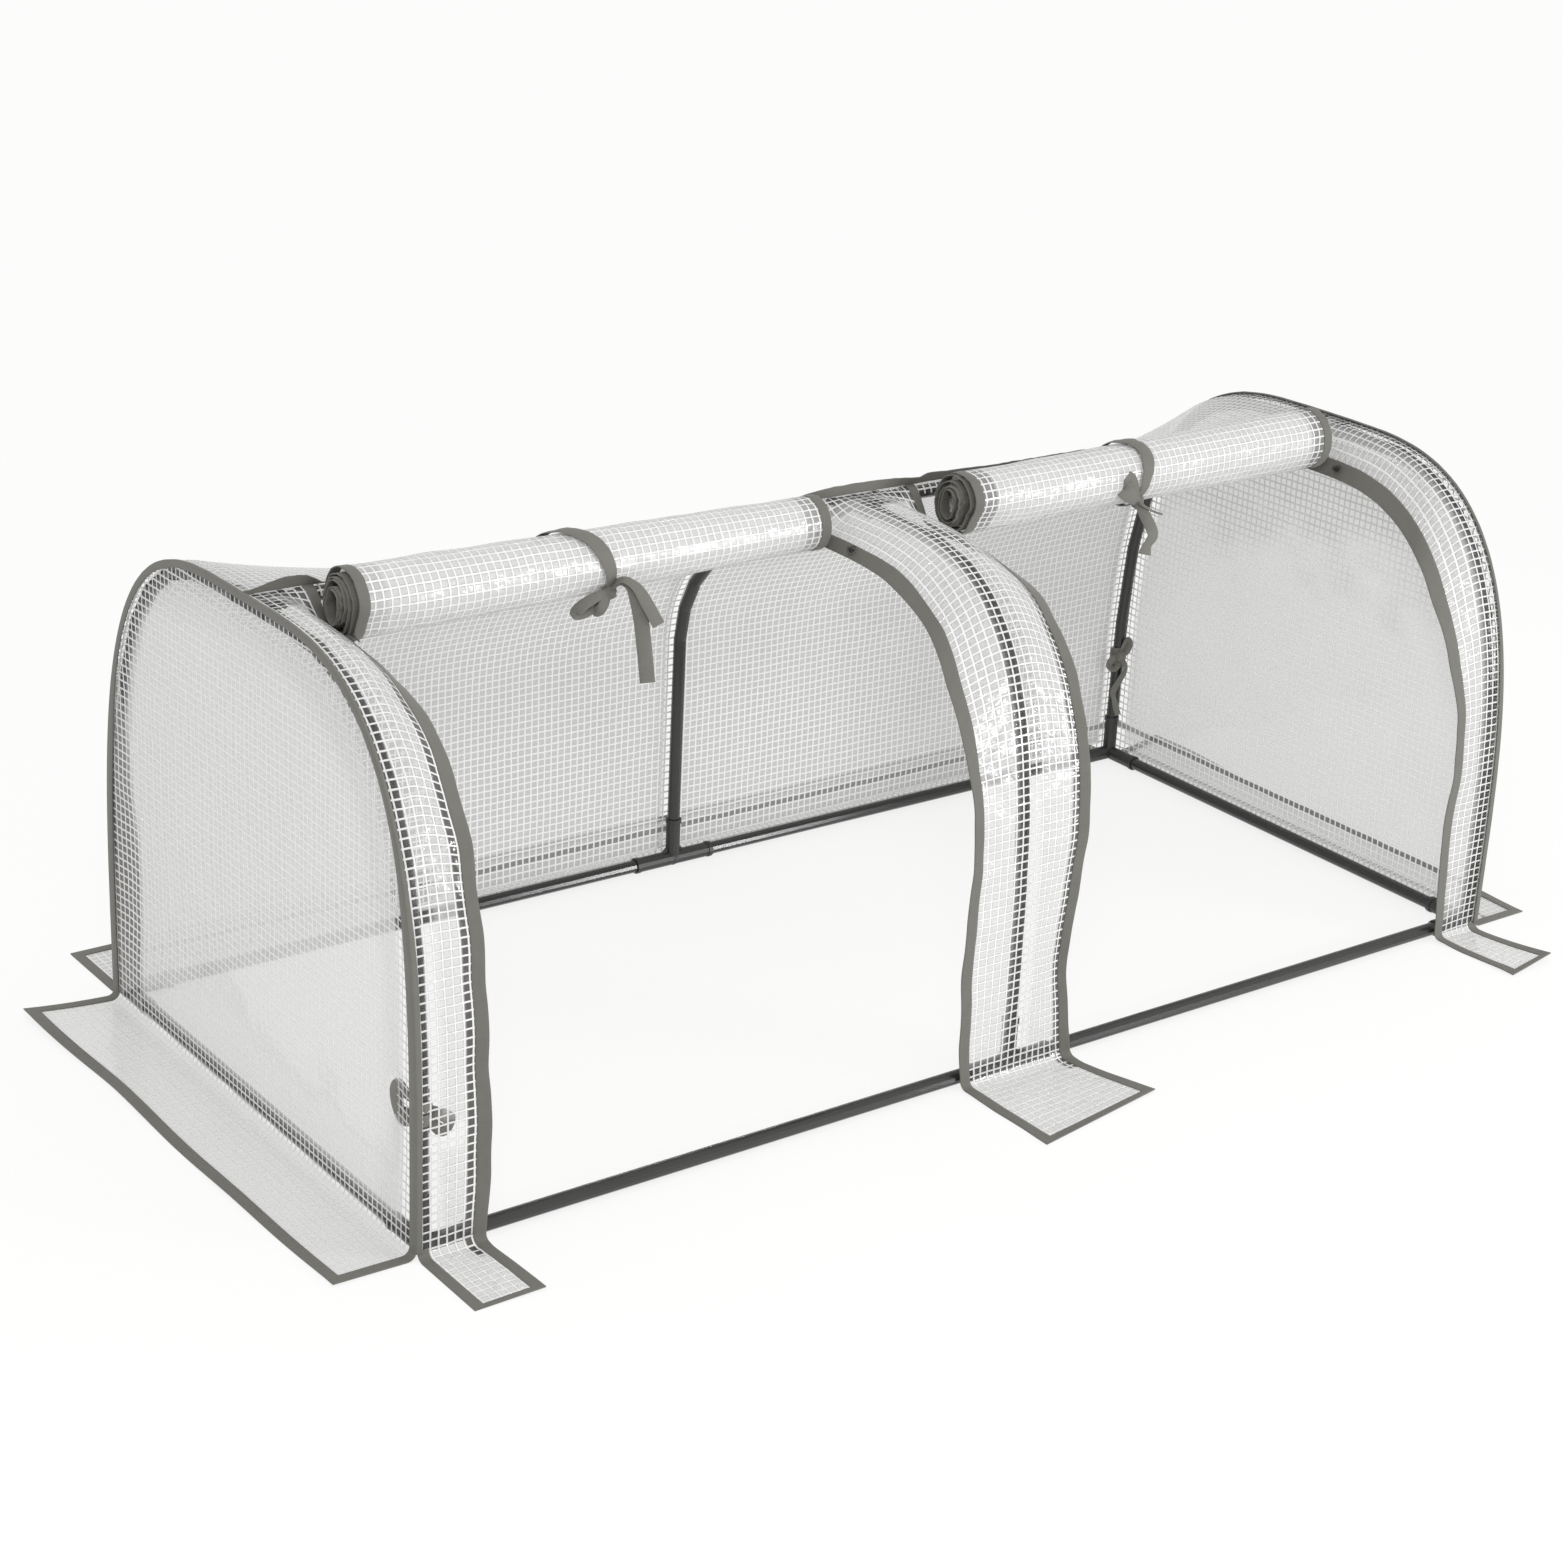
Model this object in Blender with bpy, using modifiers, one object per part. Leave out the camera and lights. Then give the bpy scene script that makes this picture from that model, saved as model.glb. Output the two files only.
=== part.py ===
"""Low tunnel greenhouse: steel tube frame, film cover, two rolled film doors.

Metres, +Z up. X runs along the ridge, the open long side faces -Y.
"""

import math

import bmesh
import bpy
import numpy as np
from mathutils import Matrix, Vector

# Frame tubes
FRAME_LENGTH = 1.78
FRAME_WIDTH = 0.786
RIDGE_HEIGHT = 0.676
TUBE_RADIUS = 0.0095
TUBE_WALL = 0.001
TUBE_SIDES = 12
LEAST_SIDES = 4
HOOP_BENDS = 8

# Plastic connectors
COLLAR_RADIUS = 0.0121
COLLAR_LENGTH = 0.007
SLEEVE_RADIUS = 0.0111
HUB_RADIUS = 0.0119
SLEEVE_REACH = 0.064
TEE_REACH = 0.0685
RIDGE_SLEEVE_REACH = 0.040
TUBE_STOP = 0.029
RIDGE_TUBE_STOP = 0.014
SOCKET_GAP = 0.0003
GUSSET_THICKNESS = 0.0043
GUSSET_REACH = 0.0187
GUSSET_FILL = 0.8
SLEEVE_TAIL = 0.003
NECK_STEP = 0.00015
HUB_TURN = 15.0
HUB_RINGS = 6

# Hoop shapes
CROWN_RUN = 0.046
BEND_WEIGHT = 0.35
SPRING_HEIGHT = 0.09
END_FULLNESS = 3.05
MIDDLE_FULLNESS = 3.5
RAFTER_SPRING = 0.35
RAFTER_BEND_HEIGHT = 0.53
RAFTER_BEND_REACH = 0.17
RAFTER_SLOPE = 0.5

# Film cover
FILM_THICKNESS = 0.0008
FILM_CLEARANCE = 0.0003
ROOT_RADIUS = 0.012
END_FLAP_WIDTH = 0.0968
BACK_FLAP_WIDTH = 0.1372
SEAM_HALF_GAP = 0.0012
ROOF_SAG = 0.008
ROOF_FALL = 5
COVER_BENDS = 11
STRIP_BENDS = 15
CROWN_WEIGHT = 2.0
CROWN_SPAN = 0.25
RIDGE_TURN = 0.0057
ROOF_SEGMENTS = 14
PANEL_SEGMENTS = 2
ROOT_SEGMENTS = 3
CURVE_SAMPLES = 160

# Front strips
LEFT_STRIP_REACH = 0.078
MIDDLE_STRIP_LEFT = -0.090
MIDDLE_STRIP_RIGHT = 0.100
RIGHT_STRIP_REACH = 0.075
MIDDLE_FOLDS = (-0.045, -0.015, 0.015, 0.050)
LEFT_FOOT_WIDTH = 0.1172
MIDDLE_FOOT_WIDTH = 0.1372
RIGHT_FOOT_WIDTH = 0.1272
DROOP_LEFT = 0.046
DROOP_MIDDLE_LEFT = 0.046
DROOP_MIDDLE_RIGHT = 0.053
DROOP_RIGHT = 0.060
DROOP_FALL = 0.050
DROOP_HOLD = 0.20
DROOP_END = 0.62
SHOULDER_AT = 0.40
SHOULDER_SPREAD = 0.15
SHIN_AT = 0.81
SHIN_SPREAD = 0.11
DROOP_CLEAR = 0.018
DROOP_CURVE = 1.5

# Bindings
TAPE_WIDTH = 0.015
TAPE_THICKNESS = 0.0009
TAPE_GAP = 0.0005
SEAM_FIN_HEIGHT = 0.0105
SEAM_FIN_STOP = 0.010
SEAM_INNER = -0.0035
SEAM_OUTER = 0.0115
SEAM_SEGMENTS = 8

# Rolled doors
ROLL_TURNS = 5.75
LEFT_ROLL_RADII = (0.048, 0.0395)
RIGHT_ROLL_RADII = (0.0462, 0.0432)
ROLL_CORE_RADIUS = 0.013
ROLL_BACK = 0.017
ROLL_STEPS_PER_TURN = 12
ROLL_COLUMNS = 2
LEFT_ROLL_TELESCOPE = 0.011
RIGHT_ROLL_TELESCOPE = 0.018
LEFT_ROLL_CLEARANCES = (0.0155, 0.015)
RIGHT_ROLL_CLEARANCES = (0.0265, 0.018)
ROLL_EDGE_THICKNESS = 0.0014
LEAD_DROP = 0.0125
HEAD_STOP = 0.06
HEAD_SEGMENTS = 4
HINGE_SLACK = 0.0004

# Ties
RIBBON_WIDTH = 0.019
RIBBON_THICKNESS = 0.0008
RIBBON_GAP = 0.0004
LEFT_KNOT_SHARE = 0.5
LEFT_STRAP_SHIFT = -0.0255
RIGHT_KNOT_SHARE = 0.4474
RIGHT_STRAP_SHIFT = 0.0205
STRAP_FIRST_TURN = 0.10
STRAP_LAST_TURN = 0.89
STRAP_HEAD = (-0.0165, 0.0150)
KNOT_SIZE = (0.008, 0.006, 0.007)
KNOT_STEP = 5
KNOT_SINK = 0.0003
KNOT_REACH = 0.012
PINCHED_WIDTH = 0.4
LOOP_PUFF = 0.0095
LOOP_FOLD = 0.006
LOOP_UNDER = 0.0020
LOOP_SPREAD = 0.002
TAIL_PUFF = 0.0045
TAIL_SAG = 0.0025
LEFT_LOOP_REACH = (-0.043, 0.0, -0.012)
LEFT_TAIL_REACHES = ((0.045, 0.0, -0.095), (0.062, 0.0, -0.030))
RIGHT_LOOP_REACH = (-0.024, 0.0, 0.020)
RIGHT_TAIL_REACHES = ((0.014, 0.0, -0.062), (0.052, 0.0, -0.018))
LEG_TIE_HEIGHT = 0.19
LEG_TIE_HALF_WIDTH = 0.006
LEG_TIE_THICKNESS = 0.0016
LEG_KNOT_SIZE = (0.007, 0.007, 0.008)
LEG_KNOT_REACH = 0.005
LEG_TAIL_HALF_WIDTH = 0.004
LEG_TAIL_STAND = 0.010
LEG_TAIL_DROP = 0.050
FRONT_LEG_TAIL_REACH = (0.010, 0.012, -0.075)
BACK_LEG_TAIL_REACH = (-0.012, -0.010, -0.090)

# Zips
SLIDER_SIZE = (0.006, 0.003, 0.010)
BRIDGE_SIZE = (0.002, 0.005, 0.006)
BRIDGE_SINK = 0.001
PULL_RADIUS = 0.006
PULL_WIRE = 0.0009
PULL_SEGMENTS = 14
PULL_SIDES = 5
PULL_HOLE = 0.0014
SLIDER_SEAT = 0.0006
SLIDER_ROW = 4
PULL_RISE = 0.0022
PULL_TILT = -4.0

HALF_LENGTH = FRAME_LENGTH / 2
HALF_WIDTH = FRAME_WIDTH / 2
BASE_HEIGHT = COLLAR_RADIUS
FILM_MIDDLE = COLLAR_RADIUS + FILM_CLEARANCE + FILM_THICKNESS / 2
GROUND = FILM_THICKNESS / 2
ROOT_HEIGHT = GROUND + ROOT_RADIUS
PANEL_X = HALF_LENGTH + FILM_MIDDLE
LEFT_STRIP_EDGE = LEFT_STRIP_REACH - HALF_LENGTH
RIGHT_STRIP_EDGE = HALF_LENGTH - RIGHT_STRIP_REACH
COVER_END = PANEL_X - FILM_THICKNESS / 2 - FILM_CLEARANCE
FLAT_START = HALF_WIDTH + FILM_MIDDLE + ROOT_RADIUS
END_FLAP_REACH = PANEL_X + ROOT_RADIUS + END_FLAP_WIDTH
BACK_FLAP_REACH = FLAT_START + BACK_FLAP_WIDTH
SEAM_HEIGHT = RIDGE_HEIGHT + FILM_MIDDLE
TAPE_LIFT = FILM_THICKNESS / 2 + TAPE_GAP + TAPE_THICKNESS / 2
FLAT_SEGMENTS = 3
CROWN_SEGMENTS = 4
HINGE = (-FILM_MIDDLE - HINGE_SLACK, RIDGE_HEIGHT)
FIRST_TURN = math.asin(LEAD_DROP / LEFT_ROLL_RADII[0]) / (2 * math.pi)


def clear_scene():
    for obj in list(bpy.data.objects):
        bpy.data.objects.remove(obj, do_unlink=True)


def make_collection(name, hidden=False):
    collection = bpy.data.collections.new(name)
    collection.hide_render = hidden
    bpy.context.scene.collection.children.link(collection)
    return collection


def make_material(name, colour, roughness, metallic=0.0):
    material = bpy.data.materials.new(name)
    material.use_nodes = True
    shader = material.node_tree.nodes["Principled BSDF"]
    shader.inputs["Base Color"].default_value = (*colour, 1.0)
    shader.inputs["Roughness"].default_value = roughness
    shader.inputs["Metallic"].default_value = metallic
    material.diffuse_color = (*colour, 1.0)
    return material


def add_object(name, mesh, smooth=False):
    """A new object of the part, with a material of its own."""
    obj = bpy.data.objects.new(name, mesh)
    PARTS.objects.link(obj)
    for polygon in mesh.polygons:
        polygon.use_smooth = smooth
    return obj


def paint(obj, kind):
    colour, roughness, metallic = FINISHES[kind]
    obj.data.materials.clear()
    obj.data.materials.append(make_material(f"{obj.name}_{kind}", colour, roughness, metallic))
    return obj


def set_origin(obj, point):
    """Moves the origin onto the joint axis without moving the shape."""
    obj.data.transform(Matrix.Translation(-Vector(point)))
    obj.location = point
    return obj


def solidify(obj, thickness, offset=0.0):
    modifier = obj.modifiers.new("Thickness", "SOLIDIFY")
    modifier.thickness = thickness
    modifier.offset = offset
    modifier.use_even_offset = True
    return obj


def hide_cutter(obj):
    for collection in list(obj.users_collection):
        collection.objects.unlink(obj)
    CUTTERS.objects.link(obj)
    obj.display_type = "WIRE"
    obj.hide_render = True
    return obj


def boolean(obj, other, operation):
    modifier = obj.modifiers.new(f"{operation} {other.name}", "BOOLEAN")
    modifier.operation = operation
    modifier.solver = "EXACT"
    modifier.object = hide_cutter(other)
    return obj


def mesh_along(name, points, radius, capped):
    """A round tube mesh along a line of points, open or capped."""
    curve = bpy.data.curves.new(name, "CURVE")
    curve.dimensions = "3D"
    curve.bevel_depth = radius
    curve.bevel_resolution = (TUBE_SIDES - LEAST_SIDES) // 2
    curve.use_fill_caps = capped
    spline = curve.splines.new("POLY")
    spline.points.add(len(points) - 1)
    for target, point in zip(spline.points, points):
        target.co = (*point, 1.0)
    guide = bpy.data.objects.new(name, curve)
    PARTS.objects.link(guide)
    graph = bpy.context.evaluated_depsgraph_get()
    mesh = bpy.data.meshes.new_from_object(guide.evaluated_get(graph))
    bpy.data.objects.remove(guide, do_unlink=True)
    shape = bmesh.new()
    shape.from_mesh(mesh)
    bmesh.ops.remove_doubles(shape, verts=shape.verts, dist=1e-6)
    bmesh.ops.recalc_face_normals(shape, faces=shape.faces)
    shape.to_mesh(mesh)
    shape.free()
    return mesh


def rod(name, points, radius):
    return add_object(name, mesh_along(name, points, radius, True))


def frame_tube(name, points):
    """A hollow frame tube. Its wall grows inward from the outer skin."""
    tube = add_object(name, mesh_along(name, points, TUBE_RADIUS, False), smooth=True)
    first = tube.data.polygons[0]
    middle = (Vector(points[0]) + Vector(points[1])) / 2
    outward = (first.center - middle).dot(first.normal) > 0
    solidify(tube, TUBE_WALL, -1.0 if outward else 1.0)
    return paint(tube, "steel")


def block(name, size, place):
    shape = bmesh.new()
    bmesh.ops.create_cube(shape, size=1.0)
    bmesh.ops.transform(shape, matrix=place @ Matrix.Diagonal((*size, 1.0)), verts=shape.verts)
    mesh = bpy.data.meshes.new(name)
    shape.to_mesh(mesh)
    shape.free()
    return add_object(name, mesh)


def ball(name, centre, size, rings=6):
    shape = bmesh.new()
    bmesh.ops.create_uvsphere(shape, u_segments=2 * rings, v_segments=rings, radius=1.0)
    move = Matrix.Translation(centre) @ Matrix.Diagonal((*size, 1.0))
    bmesh.ops.transform(shape, matrix=move, verts=shape.verts)
    mesh = bpy.data.meshes.new(name)
    shape.to_mesh(mesh)
    shape.free()
    return add_object(name, mesh, smooth=True)


def sheet(name, place, columns, rows, thickness, kind):
    """A thin cloth or film: place(column, row) gives the middle surface."""
    shape = bmesh.new()
    bmesh.ops.create_grid(shape, x_segments=columns, y_segments=rows, size=0.5)
    for vertex in shape.verts:
        column = round((vertex.co.x + 0.5) * columns)
        row = round((vertex.co.y + 0.5) * rows)
        vertex.co = place(column, row)
    mesh = bpy.data.meshes.new(name)
    shape.to_mesh(mesh)
    shape.free()
    return paint(solidify(add_object(name, mesh, smooth=True), thickness), kind)


def band(name, pairs, thickness, kind):
    """A tape whose two edges run through the pairs of points."""
    return sheet(name, lambda column, row: pairs[row][column], 1, len(pairs) - 1, thickness, kind)


# Lines in the cross-section: each holds (distance from the middle, height)

def resample(line, count, crown_weight=0.0):
    """The line in so many steps, shorter where it bends and near the crown."""
    run = np.diff(line, axis=0)
    lengths = np.hypot(*run.T)
    headings = np.arctan2(run[:, 1], run[:, 0])
    bends = np.abs(np.diff(headings, prepend=headings[0]))
    near_crown = np.cumsum(lengths) < CROWN_SPAN
    measure = lengths * (1 + crown_weight * near_crown) + BEND_WEIGHT * bends
    reached = np.concatenate([[0.0], np.cumsum(measure)])
    at = np.linspace(0.0, reached[-1], count + 1)
    return np.column_stack([np.interp(at, reached, line[:, axis]) for axis in (0, 1)])


def arch_line(fullness):
    """Centre line of a hoop half, from its straight crown to its spring."""
    turn = np.linspace(0.0, math.pi / 2, CURVE_SAMPLES)
    across = CROWN_RUN + (HALF_WIDTH - CROWN_RUN) * np.sin(turn) ** (2 / fullness)
    rise = (RIDGE_HEIGHT - SPRING_HEIGHT) * np.cos(turn) ** (2 / fullness)
    return np.column_stack([across, SPRING_HEIGHT + rise])


def rafter_line():
    """Centre line of the middle hoop's back half: a slope, one bend, a leg."""
    share = np.linspace(0.0, 1.0, CURVE_SAMPLES)[:, None]
    down = np.array([[1.0, -RAFTER_SLOPE]]) / math.hypot(1.0, RAFTER_SLOPE)
    crown = np.array([[0.0, RIDGE_HEIGHT]]) + CROWN_RUN * down
    slope = np.array([[RAFTER_BEND_REACH, RIDGE_HEIGHT - RAFTER_SLOPE * RAFTER_BEND_REACH]])
    bend = np.array([[HALF_WIDTH, RAFTER_BEND_HEIGHT]])
    spring = np.array([[HALF_WIDTH, RAFTER_SPRING]])
    rest = 1 - share
    curve = rest**3 * crown + 3 * rest**2 * share * slope
    curve = curve + 3 * rest * share**2 * bend + share**3 * spring
    leg = np.array([[HALF_WIDTH, SPRING_HEIGHT]])
    return np.vstack([curve, leg])


def offset_line(line, distance):
    """The line moved outward by a distance square to itself."""
    run = np.gradient(line, axis=0)
    run = run / np.hypot(*run.T)[:, None]
    outward = np.column_stack([-run[:, 1], run[:, 0]])
    return line + distance * outward


def crown_point(line, distance):
    """The point over the ridge, square to the hoop's straight crown."""
    run = line[0] - (0.0, RIDGE_HEIGHT)
    run = run / np.hypot(*run)
    return np.array([max(-run[1] * distance, RIDGE_TURN), RIDGE_HEIGHT + run[0] * distance])


def film_line(arch, tip, bends, crown_weight=0.0):
    """Film section: seam, arch, leg, curve at the ground, flat run to the tip."""
    curve = resample(offset_line(arch, FILM_MIDDLE), bends, crown_weight)
    crown = crown_point(arch, FILM_MIDDLE)
    seam = np.array([[SEAM_HALF_GAP, SEAM_HEIGHT], crown, (crown + curve[0]) / 2])
    turn = np.linspace(0.0, math.pi / 2, ROOT_SEGMENTS + 1)
    across = FLAT_START - ROOT_RADIUS * np.cos(turn)
    root = np.column_stack([across, ROOT_HEIGHT - ROOT_RADIUS * np.sin(turn)])
    hem = tip - TAPE_WIDTH
    flat = np.array([[(FLAT_START + hem) / 2, GROUND], [hem, GROUND], [tip, GROUND]])
    return np.vstack([seam, curve, root, flat])


def smooth_step(value):
    value = min(max(value, 0.0), 1.0)
    return value * value * (3 - 2 * value)


def mix(start, end, share):
    return start + (end - start) * share


# Frame

def hoop_points(line):
    """A hoop half from inside the ridge connector to inside the base one."""
    bent = resample(line, HOOP_BENDS)
    run = line[0] - (0.0, RIDGE_HEIGHT)
    crown = (0.0, RIDGE_HEIGHT) + run / np.hypot(*run) * RIDGE_TUBE_STOP
    foot = (HALF_WIDTH, BASE_HEIGHT + TUBE_STOP)
    return np.vstack([[crown], bent, [foot]])


def hoop_half(name, x, side, line):
    points = [(x, side * across, height) for across, height in hoop_points(line)]
    return frame_tube(name, points)


def base_tubes():
    reach_x = HALF_LENGTH - TUBE_STOP
    reach_y = HALF_WIDTH - TUBE_STOP
    for label, side in (("front", -1), ("back", 1)):
        y = side * HALF_WIDTH
        frame_tube(f"base_tube_{label}_left", [(-reach_x, y, BASE_HEIGHT), (-TUBE_STOP, y, BASE_HEIGHT)])
        frame_tube(f"base_tube_{label}_right", [(TUBE_STOP, y, BASE_HEIGHT), (reach_x, y, BASE_HEIGHT)])
    for label, side in (("left", -1), ("right", 1)):
        x = side * HALF_LENGTH
        frame_tube(f"base_tube_end_{label}", [(x, -reach_y, BASE_HEIGHT), (x, reach_y, BASE_HEIGHT)])


def ridge_tubes():
    near = RIDGE_TUBE_STOP
    far = HALF_LENGTH - RIDGE_TUBE_STOP
    frame_tube("ridge_tube_left", [(-far, 0.0, RIDGE_HEIGHT), (-near, 0.0, RIDGE_HEIGHT)])
    frame_tube("ridge_tube_right", [(near, 0.0, RIDGE_HEIGHT), (far, 0.0, RIDGE_HEIGHT)])


def hoops():
    end = arch_line(END_FULLNESS)
    for label, x in (("left", -HALF_LENGTH), ("right", HALF_LENGTH)):
        hoop_half(f"hoop_{label}_front", x, -1, end)
        hoop_half(f"hoop_{label}_back", x, 1, end)
    hoop_half("hoop_middle_front", 0.0, -1, arch_line(MIDDLE_FULLNESS))
    hoop_half("hoop_middle_back", 0.0, 1, rafter_line())


def sleeve(name, centre, direction, reach, stop, neck):
    """One bored sleeve, turned from a profile of (radius, distance out)."""
    bore = TUBE_RADIUS + SOCKET_GAP
    bottom = stop - SOCKET_GAP
    step = reach - COLLAR_LENGTH
    profile = [(0.0, bottom), (bore, bottom), (bore, reach), (COLLAR_RADIUS, reach), (COLLAR_RADIUS, step),
               (neck, step), (neck, -SLEEVE_TAIL), (0.0, -SLEEVE_TAIL)]
    shape = bmesh.new()
    verts = [shape.verts.new((radius, 0.0, out)) for radius, out in profile]
    edges = [shape.edges.new(pair) for pair in zip(verts, verts[1:])]
    bmesh.ops.spin(shape, geom=verts + edges, axis=(0, 0, 1), cent=(0, 0, 0), angle=2 * math.pi,
                   steps=TUBE_SIDES, use_merge=True)
    bmesh.ops.remove_doubles(shape, verts=shape.verts, dist=1e-6)
    bmesh.ops.recalc_face_normals(shape, faces=shape.faces)
    turn = Vector((0, 0, 1)).rotation_difference(Vector(direction)).to_matrix().to_4x4()
    bmesh.ops.transform(shape, matrix=Matrix.Translation(centre) @ turn, verts=shape.verts)
    mesh = bpy.data.meshes.new(name)
    shape.to_mesh(mesh)
    shape.free()
    return add_object(name, mesh)


def connector(name, centre, sleeves, stop, gusset=False):
    """A moulded connector: a hub with a collared, bored sleeve each way."""
    centre = Vector(centre)
    body = ball(name, (0, 0, 0), (HUB_RADIUS,) * 3, rings=HUB_RINGS)
    tilt = Matrix.Rotation(math.radians(HUB_TURN), 4, (1, 2, 3))
    body.data.transform(Matrix.Translation(centre) @ tilt)
    for number, (direction, reach) in enumerate(sleeves):
        neck = SLEEVE_RADIUS - number * NECK_STEP
        boolean(body, sleeve(f"{name}_sleeve_{number}", centre, direction, reach, stop, neck), "UNION")
    if gusset:
        for number, side in enumerate((-1, 1)):
            turn = Matrix.Rotation(math.radians(45), 4, "Y")
            corner = centre + Vector((side * GUSSET_REACH / 2, 0, GUSSET_REACH / 2))
            size = (GUSSET_REACH * GUSSET_FILL, GUSSET_THICKNESS, GUSSET_REACH * GUSSET_FILL)
            web = block(f"{name}_gusset_{number}", size, Matrix.Translation(corner) @ turn)
            boolean(body, web, "UNION")
    return paint(body, "plastic")


def connectors():
    for end, x_side in (("left", -1), ("right", 1)):
        for face, y_side in (("front", -1), ("back", 1)):
            centre = (x_side * HALF_LENGTH, y_side * HALF_WIDTH, BASE_HEIGHT)
            directions = [(-x_side, 0, 0), (0, -y_side, 0), (0, 0, 1)]
            sleeves = [(direction, SLEEVE_REACH) for direction in directions]
            connector(f"corner_connector_{face}_{end}", centre, sleeves, TUBE_STOP)
    for face, y_side in (("front", -1), ("back", 1)):
        centre = (0.0, y_side * HALF_WIDTH, BASE_HEIGHT)
        sleeves = [((-1, 0, 0), TEE_REACH), ((1, 0, 0), TEE_REACH), ((0, 0, 1), SLEEVE_REACH)]
        connector(f"tee_connector_{face}", centre, sleeves, TUBE_STOP, gusset=True)
    front = ((0, -1, 0), RIDGE_SLEEVE_REACH)
    back = ((0, 1, 0), RIDGE_SLEEVE_REACH)
    rafter = ((0, 1, -RAFTER_SLOPE), RIDGE_SLEEVE_REACH)
    to_left = ((-1, 0, 0), RIDGE_SLEEVE_REACH)
    to_right = ((1, 0, 0), RIDGE_SLEEVE_REACH)
    ways = {
        "left": (-HALF_LENGTH, [front, back, to_right]),
        "middle": (0.0, [front, rafter, to_left, to_right]),
        "right": (HALF_LENGTH, [front, back, to_left]),
    }
    for label, (x, sleeves) in ways.items():
        connector(f"ridge_connector_{label}", (x, 0, RIDGE_HEIGHT), sleeves, RIDGE_TUBE_STOP)


# Cover

def roof_x(column):
    """Columns crowd towards the ends, and one lies a tape's width inside."""
    if column in (0, ROOF_SEGMENTS):
        return math.copysign(COVER_END, column - 1)
    share = 2 * (column - 1) / (ROOF_SEGMENTS - 2) - 1
    return (COVER_END - TAPE_WIDTH) * math.sin(math.pi / 2 * share)


def roof_point(x, row):
    """The back cover: full over the end hoops, flat-backed between them."""
    end_share = min(abs(x) / (HALF_LENGTH - COLLAR_RADIUS), 1.0) ** ROOF_FALL
    across, height = mix(BACK_MIDDLE[row], BACK_END[row], end_share)
    share = min(max(row - 1, 0) / (COVER_BENDS + CROWN_SEGMENTS), 1.0)
    bay = abs(math.sin(math.pi * min(abs(x), HALF_LENGTH) / HALF_LENGTH))
    sag = ROOF_SAG * bay * math.sin(math.pi * min(share * 1.4, 1.0))
    return Vector((x, across - 0.5 * sag, height - sag))


def roof():
    sheet("roof_sheet", lambda column, row: roof_point(roof_x(column), row),
          ROOF_SEGMENTS, len(BACK_END) - 1, FILM_THICKNESS, "film")


def panel_columns():
    """Sideways stations of an end panel with the height of the arch there."""
    rim = offset_line(arch_line(END_FULLNESS), FILM_MIDDLE + FILM_THICKNESS / 2)
    half = np.vstack([[[0.0, rim[0, 1]]], resample(rim, COVER_BENDS)])
    front = [(-across, height) for across, height in half[::-1]]
    return front[:-1] + [(across, height) for across, height in half]


def panel_point(side, across, top, row):
    """End panel: rows run from the arch down, round the root and outward."""
    if row <= PANEL_SEGMENTS:
        height = mix(top, ROOT_HEIGHT, row / PANEL_SEGMENTS)
        return Vector((side * PANEL_X, across, height))
    if row <= PANEL_SEGMENTS + ROOT_SEGMENTS:
        turn = math.pi / 2 * (row - PANEL_SEGMENTS) / ROOT_SEGMENTS
        out = PANEL_X + ROOT_RADIUS * (1 - math.cos(turn))
        return Vector((side * out, across, ROOT_HEIGHT - ROOT_RADIUS * math.sin(turn)))
    flat = (PANEL_X + ROOT_RADIUS, END_FLAP_REACH - TAPE_WIDTH, END_FLAP_REACH)
    return Vector((side * flat[row - PANEL_SEGMENTS - ROOT_SEGMENTS], across, GROUND))


def end_panels():
    stations = panel_columns()
    for label, side in (("left", -1), ("right", 1)):
        sheet(f"end_panel_{label}",
              lambda column, row, side=side: panel_point(side, *stations[column], row),
              len(stations) - 1, PANEL_SEGMENTS + ROOT_SEGMENTS + 2, FILM_THICKNESS, "film")


def bump(value, centre, spread):
    return math.exp(-(((value - centre) / spread) ** 2))


class FreeSide:
    """The side of a strip beside a door: it hangs loose between crown and foot."""

    def __init__(self, hoop_x, edge_x, depth, shoulder, shin):
        self.hoop_x = hoop_x
        self.side = math.copysign(1, edge_x - hoop_x)
        self.span = abs(edge_x - hoop_x) - DROOP_CLEAR
        self.depth = depth
        self.shoulder = shoulder
        self.shin = shin

    def share(self, x):
        """0 over the hoop, 1 at the free edge."""
        reach = ((x - self.hoop_x) * self.side - DROOP_CLEAR) / self.span
        return max(reach, 0.0)

    def droop(self, x, distance):
        """How far the film sags so far down from the ridge seam."""
        fall = smooth_step(distance / DROOP_FALL)
        release = 1 - smooth_step((distance - DROOP_HOLD) / (DROOP_END - DROOP_HOLD))
        return self.depth * self.share(x) ** DROOP_CURVE * fall * release

    def sway(self, x, distance):
        """How far the film leans along the ridge at that distance."""
        lean = self.shoulder * bump(distance, SHOULDER_AT, SHOULDER_SPREAD)
        lean += self.shin * bump(distance, SHIN_AT, SHIN_SPREAD)
        return lean * self.share(x)


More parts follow.
